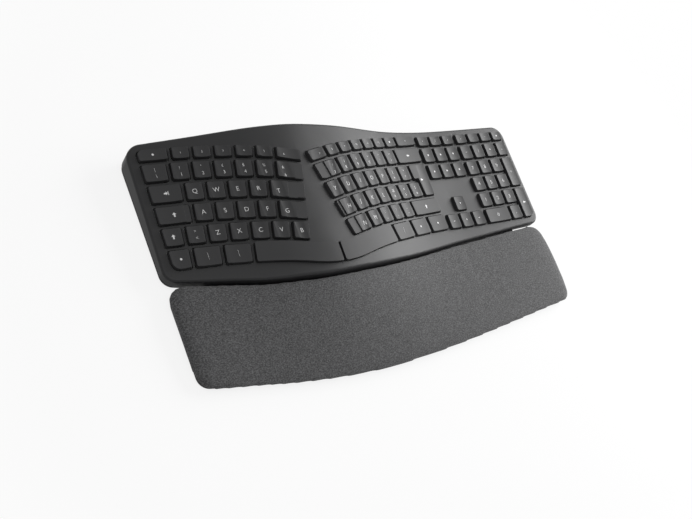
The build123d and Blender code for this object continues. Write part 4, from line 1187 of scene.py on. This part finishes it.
class KEYBOARD_OT_case(bpy.types.Operator):
    """Finish the deck, the base, the battery door and the tilt legs"""
    bl_idname = "keyboard.case"
    bl_label = "Case and legs"

    def execute(self, context):
        finish_case(context.scene.keyboard_case)
        return {"FINISHED"}


class KEYBOARD_OT_palm_rest(bpy.types.Operator):
    """Make the padded woven palm rest with its foams and tray"""
    bl_idname = "keyboard.palm_rest"
    bl_label = "Palm rest"

    def execute(self, context):
        look = context.scene.keyboard_palm
        finish_palm(look)
        finish_foams(look)
        return {"FINISHED"}


class KEYBOARD_OT_fixings(bpy.types.Operator):
    """Finish the screws with painted shade for their drives, the pins and the rubber feet"""
    bl_idname = "keyboard.fixings"
    bl_label = "Screws and feet"

    def execute(self, context):
        finish_fixings(context.scene.keyboard_fixings)
        return {"FINISHED"}


class KEYBOARD_OT_mechanism(bpy.types.Operator):
    """Finish the sheets, domes and links under the keys"""
    bl_idname = "keyboard.mechanism"
    bl_label = "Key mechanism"

    def execute(self, context):
        finish_mechanism(context.scene.keyboard_mechanism)
        return {"FINISHED"}


class KEYBOARD_OT_power(bpy.types.Operator):
    """Finish the circuit board, the cells, their contacts and the switch"""
    bl_idname = "keyboard.power"
    bl_label = "Board, cells and switch"

    def execute(self, context):
        finish_power(context.scene.keyboard_power)
        return {"FINISHED"}


class KEYBOARD_OT_studio(bpy.types.Operator):
    """Set up the pale floor, the soft lights and the camera"""
    bl_idname = "keyboard.studio"
    bl_label = "Studio"

    def execute(self, context):
        make_studio(context.scene.keyboard_studio)
        return {"FINISHED"}


MAKERS = (KEYBOARD_OT_key_caps, KEYBOARD_OT_legends, KEYBOARD_OT_case, KEYBOARD_OT_palm_rest,
          KEYBOARD_OT_fixings, KEYBOARD_OT_mechanism, KEYBOARD_OT_power, KEYBOARD_OT_studio)
LOOKS = {"keyboard_keys": KeyLook, "keyboard_case": CaseLook, "keyboard_fixings": FixingLook,
         "keyboard_palm": PalmLook, "keyboard_mechanism": MechanismLook, "keyboard_power": PowerLook,
         "keyboard_studio": StudioLook}


class KEYBOARD_PT_panel(bpy.types.Panel):
    """Every piece of the keyboard, in the order it is made"""
    bl_idname = "KEYBOARD_PT_panel"
    bl_label = "Split keyboard"
    bl_space_type = "VIEW_3D"
    bl_region_type = "UI"
    bl_category = "Keyboard"

    def draw(self, context):
        for name, kind in LOOKS.items():
            box = self.layout.box()
            for prop in kind.__annotations__:
                box.prop(getattr(context.scene, name), prop)
        for maker in MAKERS:
            self.layout.operator(maker.bl_idname)


def register():
    for kind in (*LOOKS.values(), *MAKERS, KEYBOARD_PT_panel):
        bpy.utils.register_class(kind)
    for name, kind in LOOKS.items():
        setattr(bpy.types.Scene, name, bpy.props.PointerProperty(type=kind))


def unregister():
    for name in LOOKS:
        delattr(bpy.types.Scene, name)
    for kind in (KEYBOARD_PT_panel, *reversed(MAKERS), *reversed(list(LOOKS.values()))):
        bpy.utils.unregister_class(kind)


def main():
    register()
    for maker in MAKERS:
        group, _, call = maker.bl_idname.partition(".")
        getattr(getattr(bpy.ops, group), call)()


if __name__ == "__main__":
    main()
